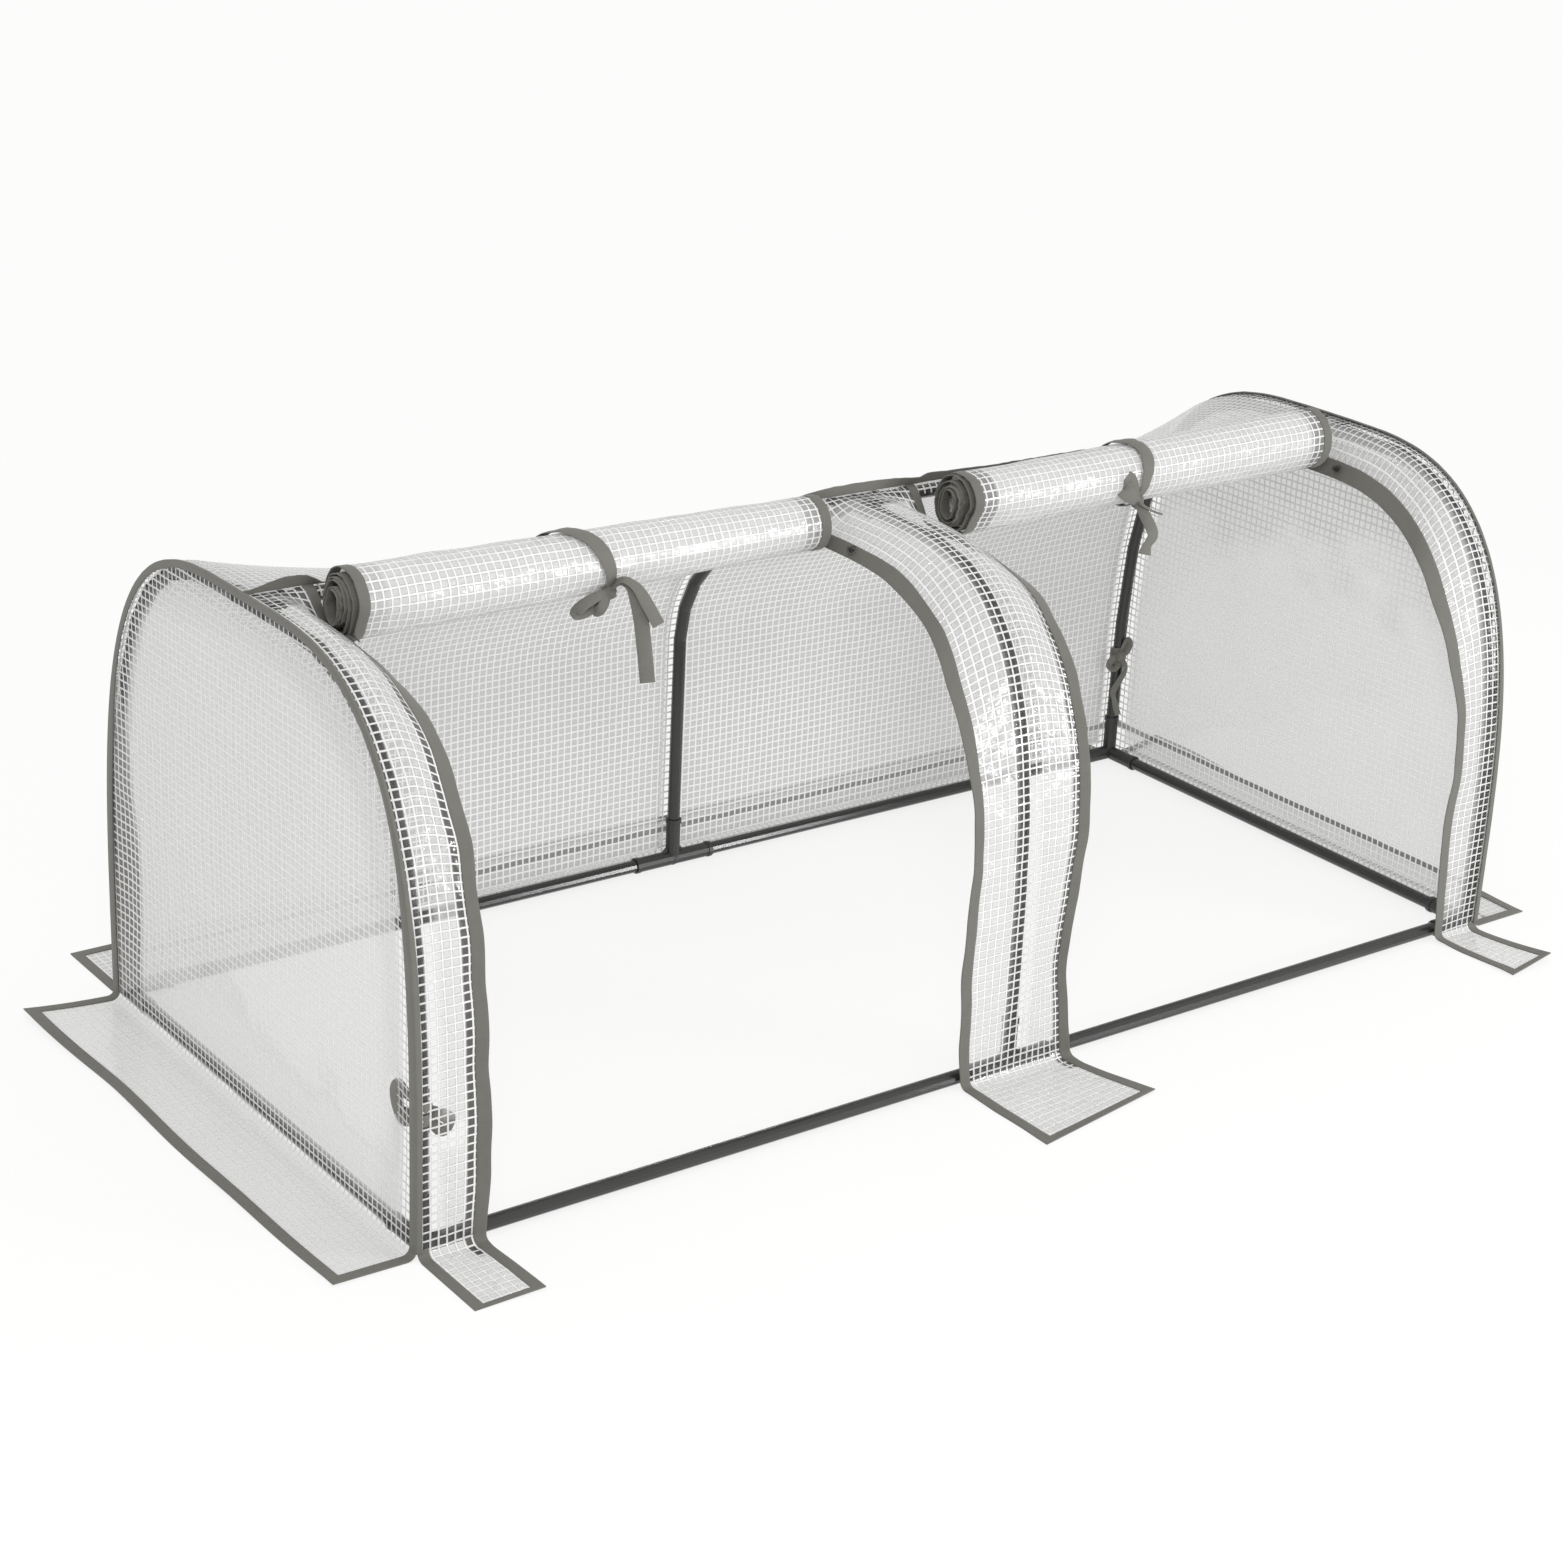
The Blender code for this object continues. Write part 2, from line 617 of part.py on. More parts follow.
class Strip:
    """A front strip of film between two door openings or beside one."""

    def __init__(self, label, xs, arch, foot, sides):
        self.label = label
        self.xs = xs
        self.line = film_line(arch, FLAT_START + foot, STRIP_BENDS, CROWN_WEIGHT)
        self.distances = np.concatenate([[0.0], np.cumsum(np.hypot(*np.diff(self.line, axis=0).T))])
        self.last = len(self.line) - 1
        self.root = self.last - FLAT_SEGMENTS
        self.sides = sides

    def point(self, x, row):
        across, height = self.line[row]
        distance = self.distances[row]
        sag = sum(side.droop(x, distance) for side in self.sides)
        lean = sum(side.sway(x, distance) for side in self.sides)
        return Vector((x + lean, -across, height - sag))

    def raised(self, x, row, lift):
        """A point above the outer face of the strip."""
        before = self.point(x, max(row - 1, 0))
        after = self.point(x, min(row + 1, self.last))
        run = after - before
        if row == 0:
            run = self.point(x, 1) - before
        across = self.point(x + TAPE_WIDTH / 8, row) - self.point(x - TAPE_WIDTH / 8, row)
        normal = across.cross(run).normalized()
        if normal.dot(Vector((0, -1, 1))) < 0:
            normal.negate()
        return self.point(x, row) + normal * lift

    def build(self):
        return sheet(f"front_strip_{self.label}", lambda column, row: self.point(self.xs[column], row),
                     len(self.xs) - 1, self.last, FILM_THICKNESS, "film")

    def side_pairs(self, x, inward, rows):
        inner = x + inward * TAPE_WIDTH
        return [(self.raised(x, row, TAPE_LIFT), self.raised(inner, row, TAPE_LIFT)) for row in rows]

    def corner(self, x, inward):
        inner = x + inward * TAPE_WIDTH
        return self.raised(x, self.last, TAPE_LIFT), self.raised(inner, self.last - 1, TAPE_LIFT)


def make_strips():
    end = arch_line(END_FULLNESS)
    middle = arch_line(MIDDLE_FULLNESS)
    inner_left = LEFT_STRIP_EDGE - TAPE_WIDTH
    inner_right = RIGHT_STRIP_EDGE + TAPE_WIDTH
    left_xs = [-COVER_END, -COVER_END + TAPE_WIDTH, mix(-COVER_END + TAPE_WIDTH, inner_left, 0.5), inner_left,
               LEFT_STRIP_EDGE]
    right_xs = [RIGHT_STRIP_EDGE, inner_right, mix(inner_right, COVER_END - TAPE_WIDTH, 0.5),
                COVER_END - TAPE_WIDTH, COVER_END]
    middle_xs = [MIDDLE_STRIP_LEFT, MIDDLE_STRIP_LEFT + TAPE_WIDTH, *MIDDLE_FOLDS,
                 MIDDLE_STRIP_RIGHT - TAPE_WIDTH, MIDDLE_STRIP_RIGHT]
    left_side = FreeSide(-HALF_LENGTH, LEFT_STRIP_EDGE, DROOP_LEFT, shoulder=0.0, shin=0.004)
    middle_left_side = FreeSide(0.0, MIDDLE_STRIP_LEFT, DROOP_MIDDLE_LEFT, shoulder=-0.018, shin=-0.010)
    middle_right_side = FreeSide(0.0, MIDDLE_STRIP_RIGHT, DROOP_MIDDLE_RIGHT, shoulder=-0.006, shin=-0.026)
    right_side = FreeSide(HALF_LENGTH, RIGHT_STRIP_EDGE, DROOP_RIGHT, shoulder=-0.030, shin=-0.014)
    left = Strip("left", left_xs, end, LEFT_FOOT_WIDTH, [left_side])
    centre = Strip("middle", middle_xs, middle, MIDDLE_FOOT_WIDTH, [middle_left_side, middle_right_side])
    right = Strip("right", right_xs, end, RIGHT_FOOT_WIDTH, [right_side])
    return left, centre, right


def strip_bindings(left, centre, right):
    """Each binding runs down the zip side, across the foot and back."""
    down = range(1, centre.last - 1)
    foot = range(centre.last - 2, centre.root - 1, -1)
    pairs = left.side_pairs(LEFT_STRIP_EDGE, -1, down)
    pairs += [left.corner(LEFT_STRIP_EDGE, -1), left.corner(-COVER_END, 1)]
    pairs += left.side_pairs(-COVER_END, 1, foot)
    band("strip_binding_left", [pair[::-1] for pair in pairs], TAPE_THICKNESS, "tape")
    pairs = right.side_pairs(RIGHT_STRIP_EDGE, 1, down)
    pairs += [right.corner(RIGHT_STRIP_EDGE, 1), right.corner(COVER_END, -1)]
    pairs += right.side_pairs(COVER_END, -1, foot)
    band("strip_binding_right", pairs, TAPE_THICKNESS, "tape")
    pairs = centre.side_pairs(MIDDLE_STRIP_LEFT, 1, down)
    pairs += [centre.corner(MIDDLE_STRIP_LEFT, 1), centre.corner(MIDDLE_STRIP_RIGHT, -1)]
    pairs += centre.side_pairs(MIDDLE_STRIP_RIGHT, -1, reversed(down))
    band("strip_binding_middle", pairs, TAPE_THICKNESS, "tape")


def end_seams():
    """Tape on the rim of each end panel, standing proud of the film."""
    arch = arch_line(END_FULLNESS)
    line = resample(arch, COVER_BENDS)
    line = np.vstack([[[0.0, RIDGE_HEIGHT]], line, [[HALF_WIDTH, ROOT_HEIGHT + TAPE_WIDTH / 4]]])
    inner = offset_line(line, SEAM_INNER)
    outer = offset_line(line, SEAM_OUTER)
    for label, side in (("left", -1), ("right", 1)):
        x = side * (PANEL_X + TAPE_LIFT)
        front = [(Vector((x, -a[0], a[1])), Vector((x, -b[0], b[1]))) for a, b in zip(outer, inner)]
        back = [(Vector((x, a[0], a[1])), Vector((x, b[0], b[1]))) for a, b in zip(outer, inner)]
        band(f"end_seam_binding_{label}", front[::-1] + back[1:], TAPE_THICKNESS, "tape")


def top_seam():
    foot = SEAM_HEIGHT + FILM_THICKNESS / 2 + TAPE_GAP
    top = foot + SEAM_FIN_HEIGHT
    reach = HALF_LENGTH - SEAM_FIN_STOP
    stations = np.linspace(-reach, reach, SEAM_SEGMENTS + 1)
    pairs = [(Vector((x, 0.0, foot)), Vector((x, 0.0, top))) for x in stations]
    band("top_seam_binding", pairs, 2 * TAPE_THICKNESS, "tape")


def flap_bindings():
    height = GROUND + TAPE_LIFT
    root = PANEL_X + ROOT_RADIUS
    edge = HALF_WIDTH + FILM_MIDDLE + FILM_THICKNESS / 2
    for label, side in (("left", -1), ("right", 1)):
        tip = END_FLAP_REACH
        outer = [(root, -edge), (tip, -edge), (tip, edge), (root, edge)]
        inner = [(root, -edge + TAPE_WIDTH), (tip - TAPE_WIDTH, -edge + TAPE_WIDTH),
                 (tip - TAPE_WIDTH, edge - TAPE_WIDTH), (root, edge - TAPE_WIDTH)]
        pairs = [(Vector((side * a[0], a[1], height)), Vector((side * b[0], b[1], height)))
                 for a, b in zip(outer, inner)]
        band(f"flap_binding_{label}", pairs, TAPE_THICKNESS, "tape")
    root = FLAT_START
    tip = BACK_FLAP_REACH
    edge = COVER_END
    outer = [(-edge, root), (-edge, tip), (edge, tip), (edge, root)]
    inner = [(-edge + TAPE_WIDTH, root), (-edge + TAPE_WIDTH, tip - TAPE_WIDTH),
             (edge - TAPE_WIDTH, tip - TAPE_WIDTH), (edge - TAPE_WIDTH, root)]
    pairs = [(Vector((*a, height)), Vector((*b, height))) for a, b in zip(outer, inner)]
    band("flap_binding_back", pairs, TAPE_THICKNESS, "tape")


# Rolled doors

class Roll:
    """A door wound outward into a roll that hangs in front of the ridge."""

    def __init__(self, label, left, right, radii, telescope):
        self.label = label
        self.telescope = telescope
        self.left = left
        self.right = right
        self.radii = radii
        self.steps = round(ROLL_TURNS * ROLL_STEPS_PER_TURN)

    def outer_radius(self, x):
        return mix(*self.radii, (x - self.left) / (self.right - self.left))

    def on_spiral(self, x, turned, lift=0.0):
        """A point after so many turns from the back point, lifted outward."""
        outer = self.outer_radius(x)
        radius = mix(outer, ROLL_CORE_RADIUS, turned / ROLL_TURNS) + lift
        angle = -2 * math.pi * turned
        middle = Vector((x, -ROLL_BACK - outer, RIDGE_HEIGHT))
        return middle + Vector((0, radius * math.cos(angle), radius * math.sin(angle)))

    def point(self, x, step):
        """Step 0 is the hinge line at the head, then the winding follows."""
        if step == 0:
            return Vector((x, *HINGE))
        return self.on_spiral(x, self.turned(step))

    def turned(self, step):
        return mix(FIRST_TURN, ROLL_TURNS, (step - 1) / (self.steps - 1))

    def shift(self, step):
        return -self.telescope * step / self.steps

    def build(self):
        film_left = self.left + TAPE_WIDTH + FILM_CLEARANCE
        film_right = self.right - TAPE_WIDTH - FILM_CLEARANCE
        xs = np.linspace(film_left, film_right, ROLL_COLUMNS + 1)
        parts = [
            self.wound(f"door_roll_{self.label}", xs, FILM_THICKNESS, "film"),
            self.wound(f"door_{self.label}_edge_left", [self.left, self.left + TAPE_WIDTH],
                       ROLL_EDGE_THICKNESS, "tape"),
            self.wound(f"door_{self.label}_edge_right", [self.right - TAPE_WIDTH, self.right],
                       ROLL_EDGE_THICKNESS, "tape"),
        ]
        for part in parts:
            set_origin(part, (self.left, *HINGE))
        return parts

    def wound(self, name, xs, thickness, kind):
        def place(column, row):
            spot = self.point(xs[column], row)
            spot.x += self.shift(row)
            return spot

        return sheet(name, place, len(xs) - 1, self.steps, thickness, kind)

    def head(self):
        """The short run of door film from the seam over the ridge tube."""
        xs = (self.left, self.right)

        def place(column, row):
            angle = math.pi / 2 + (math.pi / 2 - HEAD_STOP) * row / HEAD_SEGMENTS
            if row == 0:
                return Vector((xs[column], -SEAM_HALF_GAP, SEAM_HEIGHT))
            rise = RIDGE_HEIGHT + FILM_MIDDLE * math.sin(angle)
            return Vector((xs[column], FILM_MIDDLE * math.cos(angle), rise))

        return sheet(f"door_head_{self.label}", place, 1, HEAD_SEGMENTS, FILM_THICKNESS, "film")

    def least_gap(self):
        """The smallest clear distance between neighbouring turns, in millimetres."""
        points = [self.point(self.right, step) for step in range(self.steps + 1)]
        apart = ROLL_STEPS_PER_TURN // 2
        gaps = [
            (points[first] - points[second]).length
            for first in range(len(points))
            for second in range(first + apart, len(points))
        ]
        return 1000 * (min(gaps) - ROLL_EDGE_THICKNESS)


def bow(name, knot, ribbons):
    """A knot with its loop and tails: each ribbon is a list of centre points."""
    body = ball(name, knot, KNOT_SIZE)
    for number, path in enumerate(ribbons):
        pairs = []
        for index, centre in enumerate(path):
            run = path[min(index + 1, len(path) - 1)] - path[max(index - 1, 0)]
            side = run.cross(Vector((0, -1, 0))).normalized()
            near_knot = (centre - knot).length < KNOT_REACH
            width = RIBBON_WIDTH * (PINCHED_WIDTH if near_knot else 1.0)
            pairs.append((centre - side * width / 2, centre + side * width / 2))
        ribbon = band(f"{name}_ribbon_{number}", pairs, RIBBON_THICKNESS, "tape")
        boolean(body, ribbon, "UNION")
    return body


def bow_loop(knot, reach):
    """A loop that leaves the knot, turns over at its end and comes back under."""
    near = reach * 0.35
    far = reach * 0.8
    front = Vector((0, -LOOP_PUFF, 0))
    under = Vector((0, -LOOP_UNDER, 0))
    spread = Vector((0, 0, LOOP_SPREAD))
    return [knot, knot + near + front + spread, knot + far + front, knot + reach + Vector((0, -LOOP_FOLD, 0)),
            knot + far + under, knot + near + under - spread, knot - spread / 2]


def bow_tail(knot, reach):
    puff = Vector((0, -TAIL_PUFF, 0))
    rise = Vector((0, 0, TAIL_SAG))
    return [knot, knot + reach * 0.3 + puff + rise, knot + reach * 0.65 + puff + rise, knot + reach + puff / 2]


def tie(label, roll, knot_share, strap_shift, loop, tails):
    """The ribbon round a roll, with its bow on the front."""
    knot_x = mix(roll.left, roll.right, knot_share)
    strap_x = knot_x + strap_shift
    lift = FILM_THICKNESS / 2 + RIBBON_GAP + RIBBON_THICKNESS / 2
    knot_turn = roll.turned(KNOT_STEP)
    path = []
    for step in range(roll.steps):
        turned = roll.turned(step)
        if STRAP_FIRST_TURN < turned < STRAP_LAST_TURN:
            share = smooth_step((turned - knot_turn) / (STRAP_LAST_TURN - knot_turn))
            path.append(roll.on_spiral(mix(knot_x, strap_x, share), turned, lift))
    head_y, head_rise = STRAP_HEAD
    path.append(Vector((strap_x, head_y, RIDGE_HEIGHT + head_rise)))
    half = Vector((RIBBON_WIDTH / 2, 0, 0))
    pairs = [(centre - half, centre + half) for centre in path]
    strap = band(f"tie_{label}", pairs, RIBBON_THICKNESS, "tape")
    knot = roll.on_spiral(knot_x, knot_turn, lift + KNOT_SIZE[1] - KNOT_SINK)
    ribbons = [bow_loop(knot, Vector(loop))] + [bow_tail(knot, Vector(tail)) for tail in tails]
    boolean(strap, bow(f"tie_{label}_bow", knot, ribbons), "UNION")
    return set_origin(strap, (roll.left, *HINGE))


def leg_tie(name, x, y, tail_to):
    """A ribbon knotted round a hoop leg just above its connector."""
    inner = TUBE_RADIUS + 2 * SOCKET_GAP
    legs = hoop_points(arch_line(END_FULLNESS))[::-1]
    y = math.copysign(float(np.interp(LEG_TIE_HEIGHT, legs[:, 1], legs[:, 0])), y)
    centre = Vector((x, y, LEG_TIE_HEIGHT))
    rise = Vector((0, 0, LEG_TIE_HALF_WIDTH))
    body = rod(name, [centre - rise, centre + rise], inner + LEG_TIE_THICKNESS)
    inward = Vector((-math.copysign(1, x), -math.copysign(1, y), 0)).normalized()
    knot = centre + inward * (inner + LEG_KNOT_REACH)
    boolean(body, ball(f"{name}_knot", knot, LEG_KNOT_SIZE), "UNION")
    drop = Vector((0, 0, -LEG_TAIL_DROP))
    path = [knot, knot + inward * LEG_TAIL_STAND * 0.8 + drop / 4, knot + inward * LEG_TAIL_STAND + drop,
            knot + Vector(tail_to)]
    side = Vector((-inward.y, inward.x, 0)) * LEG_TAIL_HALF_WIDTH
    tail = band(f"{name}_tail", [(spot - side, spot + side) for spot in path], RIBBON_THICKNESS, "tape")
    boolean(body, tail, "UNION")
    reach = rise + Vector((0, 0, LEG_TIE_HEIGHT / 4))
    hole = rod(f"{name}_hole", [centre - reach, centre + reach], inner)
    boolean(body, hole, "DIFFERENCE")
    return paint(body, "tape")


def zip_slider(label, strip, x):
    """A slider seated on the strip's zip tape, with its ring pull."""
    lift = TAPE_LIFT + TAPE_THICKNESS / 2 + SLIDER_SEAT + SLIDER_SIZE[1] / 2
    before, after = strip.raised(x, SLIDER_ROW, lift), strip.raised(x, SLIDER_ROW + 1, lift)
    centre = (before + after) / 2
    above = strip.raised(x, SLIDER_ROW, 2 * lift) + strip.raised(x, SLIDER_ROW + 1, 2 * lift)
    outward = (above - before - after).normalized()
    run = before - after
    run = (run - run.dot(outward) * outward).normalized()
    across = outward.cross(run)
    turn = Matrix((
        (across.x, outward.x, run.x, centre.x),
        (across.y, outward.y, run.y, centre.y),
        (across.z, outward.z, run.z, centre.z),
        (0, 0, 0, 1),
    ))
    body = block(f"zip_slider_{label}", SLIDER_SIZE, turn)
    bridge_rise = SLIDER_SIZE[1] / 2 + BRIDGE_SIZE[1] / 2 - BRIDGE_SINK
    bridge = block(f"zip_bridge_{label}", BRIDGE_SIZE, turn @ Matrix.Translation((0, bridge_rise, 0)))
    boolean(body, bridge, "UNION")
    eye = turn @ Vector((0, SLIDER_SIZE[1] / 2 + PULL_RISE, 0))
    hole = rod(f"zip_hole_{label}", [eye - across * PULL_RADIUS, eye + across * PULL_RADIUS], PULL_HOLE)
    boolean(body, hole, "DIFFERENCE")
    paint(body, "slider")
    set_origin(body, centre)
    pull_ring(label, eye, turn.to_3x3() @ Matrix.Rotation(math.radians(PULL_TILT), 3, "X"))
    return centre, run, eye, across


def pull_ring(label, eye, turn):
    """A wire ring that hangs from the slider's eye."""
    shape = bmesh.new()
    bmesh.ops.create_grid(shape, x_segments=PULL_SEGMENTS, y_segments=PULL_SIDES, size=0.5)
    for vertex in shape.verts:
        around = 2 * math.pi * (vertex.co.x + 0.5)
        tube = 2 * math.pi * (vertex.co.y + 0.5)
        reach = PULL_RADIUS + PULL_WIRE * math.cos(tube)
        spot = (reach * math.sin(around), PULL_WIRE * math.sin(tube), -PULL_RADIUS + reach * math.cos(around))
        vertex.co = turn @ Vector(spot)
    bmesh.ops.remove_doubles(shape, verts=shape.verts, dist=1e-6)
    bmesh.ops.recalc_face_normals(shape, faces=shape.faces)
    mesh = bpy.data.meshes.new(f"zip_pull_{label}")
    shape.to_mesh(mesh)
    shape.free()
    ring = add_object(f"zip_pull_{label}", mesh, smooth=True)
    ring.location = eye
    return paint(ring, "slider")


FINISHES = {
    "steel": ((0.045, 0.045, 0.042), 0.38, 0.6),
    "plastic": ((0.035, 0.035, 0.034), 0.5, 0.0),
    "film": ((0.82, 0.83, 0.82), 0.3, 0.0),
    "tape": ((0.19, 0.18, 0.155), 0.85, 0.0),
    "slider": ((0.12, 0.12, 0.11), 0.4, 0.4),
}

clear_scene()
PARTS = make_collection("greenhouse")
CUTTERS = make_collection("greenhouse_cutters", hidden=True)
BACK_END = film_line(arch_line(END_FULLNESS), BACK_FLAP_REACH, COVER_BENDS)
BACK_MIDDLE = film_line(rafter_line(), BACK_FLAP_REACH, COVER_BENDS)

base_tubes()
hoops()
ridge_tubes()
connectors()
roof()
end_panels()
STRIPS = make_strips()
for strip in STRIPS:
    strip.build()
strip_bindings(*STRIPS)
end_seams()
top_seam()
flap_bindings()

LEFT_ROLL = Roll("left", LEFT_STRIP_EDGE + LEFT_ROLL_CLEARANCES[0],
                 MIDDLE_STRIP_LEFT - LEFT_ROLL_CLEARANCES[1], LEFT_ROLL_RADII, LEFT_ROLL_TELESCOPE)
RIGHT_ROLL = Roll("right", MIDDLE_STRIP_RIGHT + RIGHT_ROLL_CLEARANCES[0],
                  RIGHT_STRIP_EDGE - RIGHT_ROLL_CLEARANCES[1], RIGHT_ROLL_RADII, RIGHT_ROLL_TELESCOPE)
for roll in (LEFT_ROLL, RIGHT_ROLL):
    roll.build()
    roll.head()
print(f"Least gap between turns of a roll: {min(LEFT_ROLL.least_gap(), RIGHT_ROLL.least_gap()):.2f} mm")

tie("left", LEFT_ROLL, LEFT_KNOT_SHARE, LEFT_STRAP_SHIFT, LEFT_LOOP_REACH, LEFT_TAIL_REACHES)
tie("right", RIGHT_ROLL, RIGHT_KNOT_SHARE, RIGHT_STRAP_SHIFT, RIGHT_LOOP_REACH, RIGHT_TAIL_REACHES)
leg_tie("leg_tie_front_left", -HALF_LENGTH, -HALF_WIDTH, FRONT_LEG_TAIL_REACH)
leg_tie("leg_tie_back_right", HALF_LENGTH, HALF_WIDTH, BACK_LEG_TAIL_REACH)
RIGHT_ZIP_X = RIGHT_STRIP_EDGE + TAPE_WIDTH / 2
MIDDLE_RIGHT_ZIP_X = MIDDLE_STRIP_RIGHT - TAPE_WIDTH / 2
MIDDLE_LEFT_ZIP_X = MIDDLE_STRIP_LEFT + TAPE_WIDTH / 2
LEFT_ZIP_X = LEFT_STRIP_EDGE - TAPE_WIDTH / 2
ZIPS = {
    "right_door_right": zip_slider("right_door_right", STRIPS[2], RIGHT_ZIP_X),
    "right_door_left": zip_slider("right_door_left", STRIPS[1], MIDDLE_RIGHT_ZIP_X),
    "left_door_right": zip_slider("left_door_right", STRIPS[1], MIDDLE_LEFT_ZIP_X),
    "left_door_left": zip_slider("left_door_left", STRIPS[0], LEFT_ZIP_X),
}
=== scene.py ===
"""Looks of the low tunnel greenhouse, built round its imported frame.

Metres, +Z up. X runs along the ridge, the open long side faces -Y.
"""

import math
from dataclasses import dataclass

import bmesh
import bpy
import numpy as np
from mathutils import Matrix, Vector, noise


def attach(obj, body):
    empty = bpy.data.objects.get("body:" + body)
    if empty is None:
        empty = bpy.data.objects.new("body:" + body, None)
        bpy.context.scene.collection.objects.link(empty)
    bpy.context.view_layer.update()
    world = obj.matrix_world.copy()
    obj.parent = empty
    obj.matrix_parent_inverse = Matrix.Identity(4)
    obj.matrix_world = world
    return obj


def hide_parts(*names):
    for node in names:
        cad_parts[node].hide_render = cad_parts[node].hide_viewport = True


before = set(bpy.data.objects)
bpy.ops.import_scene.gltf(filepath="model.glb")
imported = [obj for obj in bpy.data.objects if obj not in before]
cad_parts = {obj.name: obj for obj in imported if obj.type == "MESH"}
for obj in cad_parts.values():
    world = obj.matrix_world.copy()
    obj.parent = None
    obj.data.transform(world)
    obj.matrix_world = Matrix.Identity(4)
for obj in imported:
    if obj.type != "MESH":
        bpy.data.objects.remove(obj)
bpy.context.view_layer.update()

# Camera, as worked out from the photograph
CAMERA_PLACE = (-2.417, -3.039, 1.823)
CAMERA_RIGHT = (0.805343, -0.591028, 0.045924)
CAMERA_DOWN = (-0.18562, -0.324983, -0.927325)
CAMERA_AHEAD = (0.562999, 0.73829, -0.37143)
CAMERA_LENS = 69.379

# Sizes shared with the frame's source
HALF_LENGTH = 0.89
HALF_WIDTH = 0.393
RIDGE_HEIGHT = 0.676
COLLAR_RADIUS = 0.0121
CROWN_RUN = 0.046
SPRING_HEIGHT = 0.09
END_FULLNESS = 3.05
MIDDLE_FULLNESS = 3.5
RAFTER_SPRING = 0.35
RAFTER_BEND_HEIGHT = 0.53
RAFTER_BEND_REACH = 0.17
RAFTER_SLOPE = 0.5
FILM_MIDDLE = 0.0128
SEAM_HALF_GAP = 0.0012
RIDGE_TURN = 0.0057
GROUND = 0.0008
ROOT_RADIUS = 0.012
ROOT_HEIGHT = 0.0124
ROOT_SHARES = np.array([1.0, 0.8, 0.5, 0.2, 0.0])
PANEL_X = HALF_LENGTH + FILM_MIDDLE
PANEL_RIM = FILM_MIDDLE + 0.0004
COVER_END = PANEL_X - 0.0007
FLAT_START = HALF_WIDTH + FILM_MIDDLE + ROOT_RADIUS
ROOT_RUN = 0.0188
END_FLAP_WIDTH = 0.0968
BACK_FLAP_WIDTH = 0.1372
ARCH_STEPS = 110
ROOT_STEPS = 6
FLAP_STEPS = 15
GROUND_ROW = -1 - FLAP_STEPS
ROOT_ROW = GROUND_ROW - ROOT_STEPS
ROOF_SAG = 0.008
ROOF_FALL = 3.4
SEAM_HEIGHT = RIDGE_HEIGHT + FILM_MIDDLE
SEAM_CORNER = 0.0156
EDGE_CURL = 0.0060

# Free sides of the strips: their edges, how they droop, and where they lean at shoulder and shin
LEFT_STRIP_EDGE = -0.812
MIDDLE_STRIP_LEFT = -0.090
MIDDLE_STRIP_RIGHT = 0.100
RIGHT_STRIP_EDGE = 0.815
DROOP_FALL = 0.050
DROOP_HOLD = 0.20
DROOP_END = 0.62
DROOP_CLEAR = 0.018
DROOP_CURVE = 1.5
SHOULDER_AT = 0.40
SHOULDER_SPREAD = 0.15
SHIN_AT = 0.81
SHIN_SPREAD = 0.11

# Rolled doors
ROLL_TURNS = 5.75
ROLL_CORE_RADIUS = 0.013
ROLL_BACK = 0.017
ROLL_CORE = 0.0155
CORE_TILT = 1.9
HINGE = (-FILM_MIDDLE - 0.0004, RIDGE_HEIGHT)
LEAD_TURN = 0.042

# Cloth
TAPE_WIDTH = 0.015
TAPE_THICKNESS = 0.0017
RIBBON_WIDTH = 0.019
LEFT_KNOT_X = -0.450
LEFT_STRAP_X = -0.4755
RIGHT_KNOT_X = 0.4265
RIGHT_STRAP_X = 0.447
STRAP_START_TURN = 0.90
STRAP_END_TURN = 0.10
STRAP_CENTRE = (0.0, -0.06, RIDGE_HEIGHT)
KNOT_TURN = 0.378
STRAP_LIFT = 0.0032
KNOT_LIFT = 0.006
LEG_TIE_HEIGHT = 0.182
LEG_TIE_RADIUS = 0.0114
LEG_TIE_TURNS = 1.9
LEG_TIE_CLIMB = 0.024
TIE_RING_RADIUS = 0.0058
TIE_RING_WIRE = 0.0012
STRAP_SLANT = 0.040
THREAD_PITCH = 0.0112
THREAD_WIDTH = 0.0027
THREAD_EDGE = 0.0004
THREAD_WANDER = 0.0022
DARK_ROW = 5 * THREAD_PITCH
# Colour of the dark cells: zip tape and other tape behind the film, and the painted shade band on the left
# end panel.
TAPE_AND_SHADE_TONE = 0.075
ZIP_REACH = 0.0125
CONTACT_ALPHA = 0.06
RESTING_ALPHA = 0.73
THREAD_ALPHA = 0.95
ROW_DARKNESS = 0.85
THROUGH_LIGHT = 0.32
WHITE = (1.0, 1.0, 1.0, 1.0)
# Thread colour in painted shade, on the upper part of the right end panel.
SHADED_THREAD = 0.50


# Meshes

def smooth_step(value):
    value = np.clip(value, 0.0, 1.0)
    return value * value * (3 - 2 * value)


def fade(value, start, width):
    """0 below the start, rising smoothly to 1 over the width."""
    return smooth_step((value - start) / width)


def mix(start, end, share):
    return start + (end - start) * share


def bump_at(value, centre, spread):
    return np.exp(-(((value - centre) / spread) ** 2))


def ripple(points, size, seed=0.0):
    """Smooth noise between -1 and 1 at each point."""
    shift = Vector((seed, 0.37 * seed, -0.71 * seed))
    flat = points.reshape(-1, 3) / size
    values = [noise.noise(Vector(spot) + shift) for spot in flat.tolist()]
    return np.array(values).reshape(points.shape[:-1])


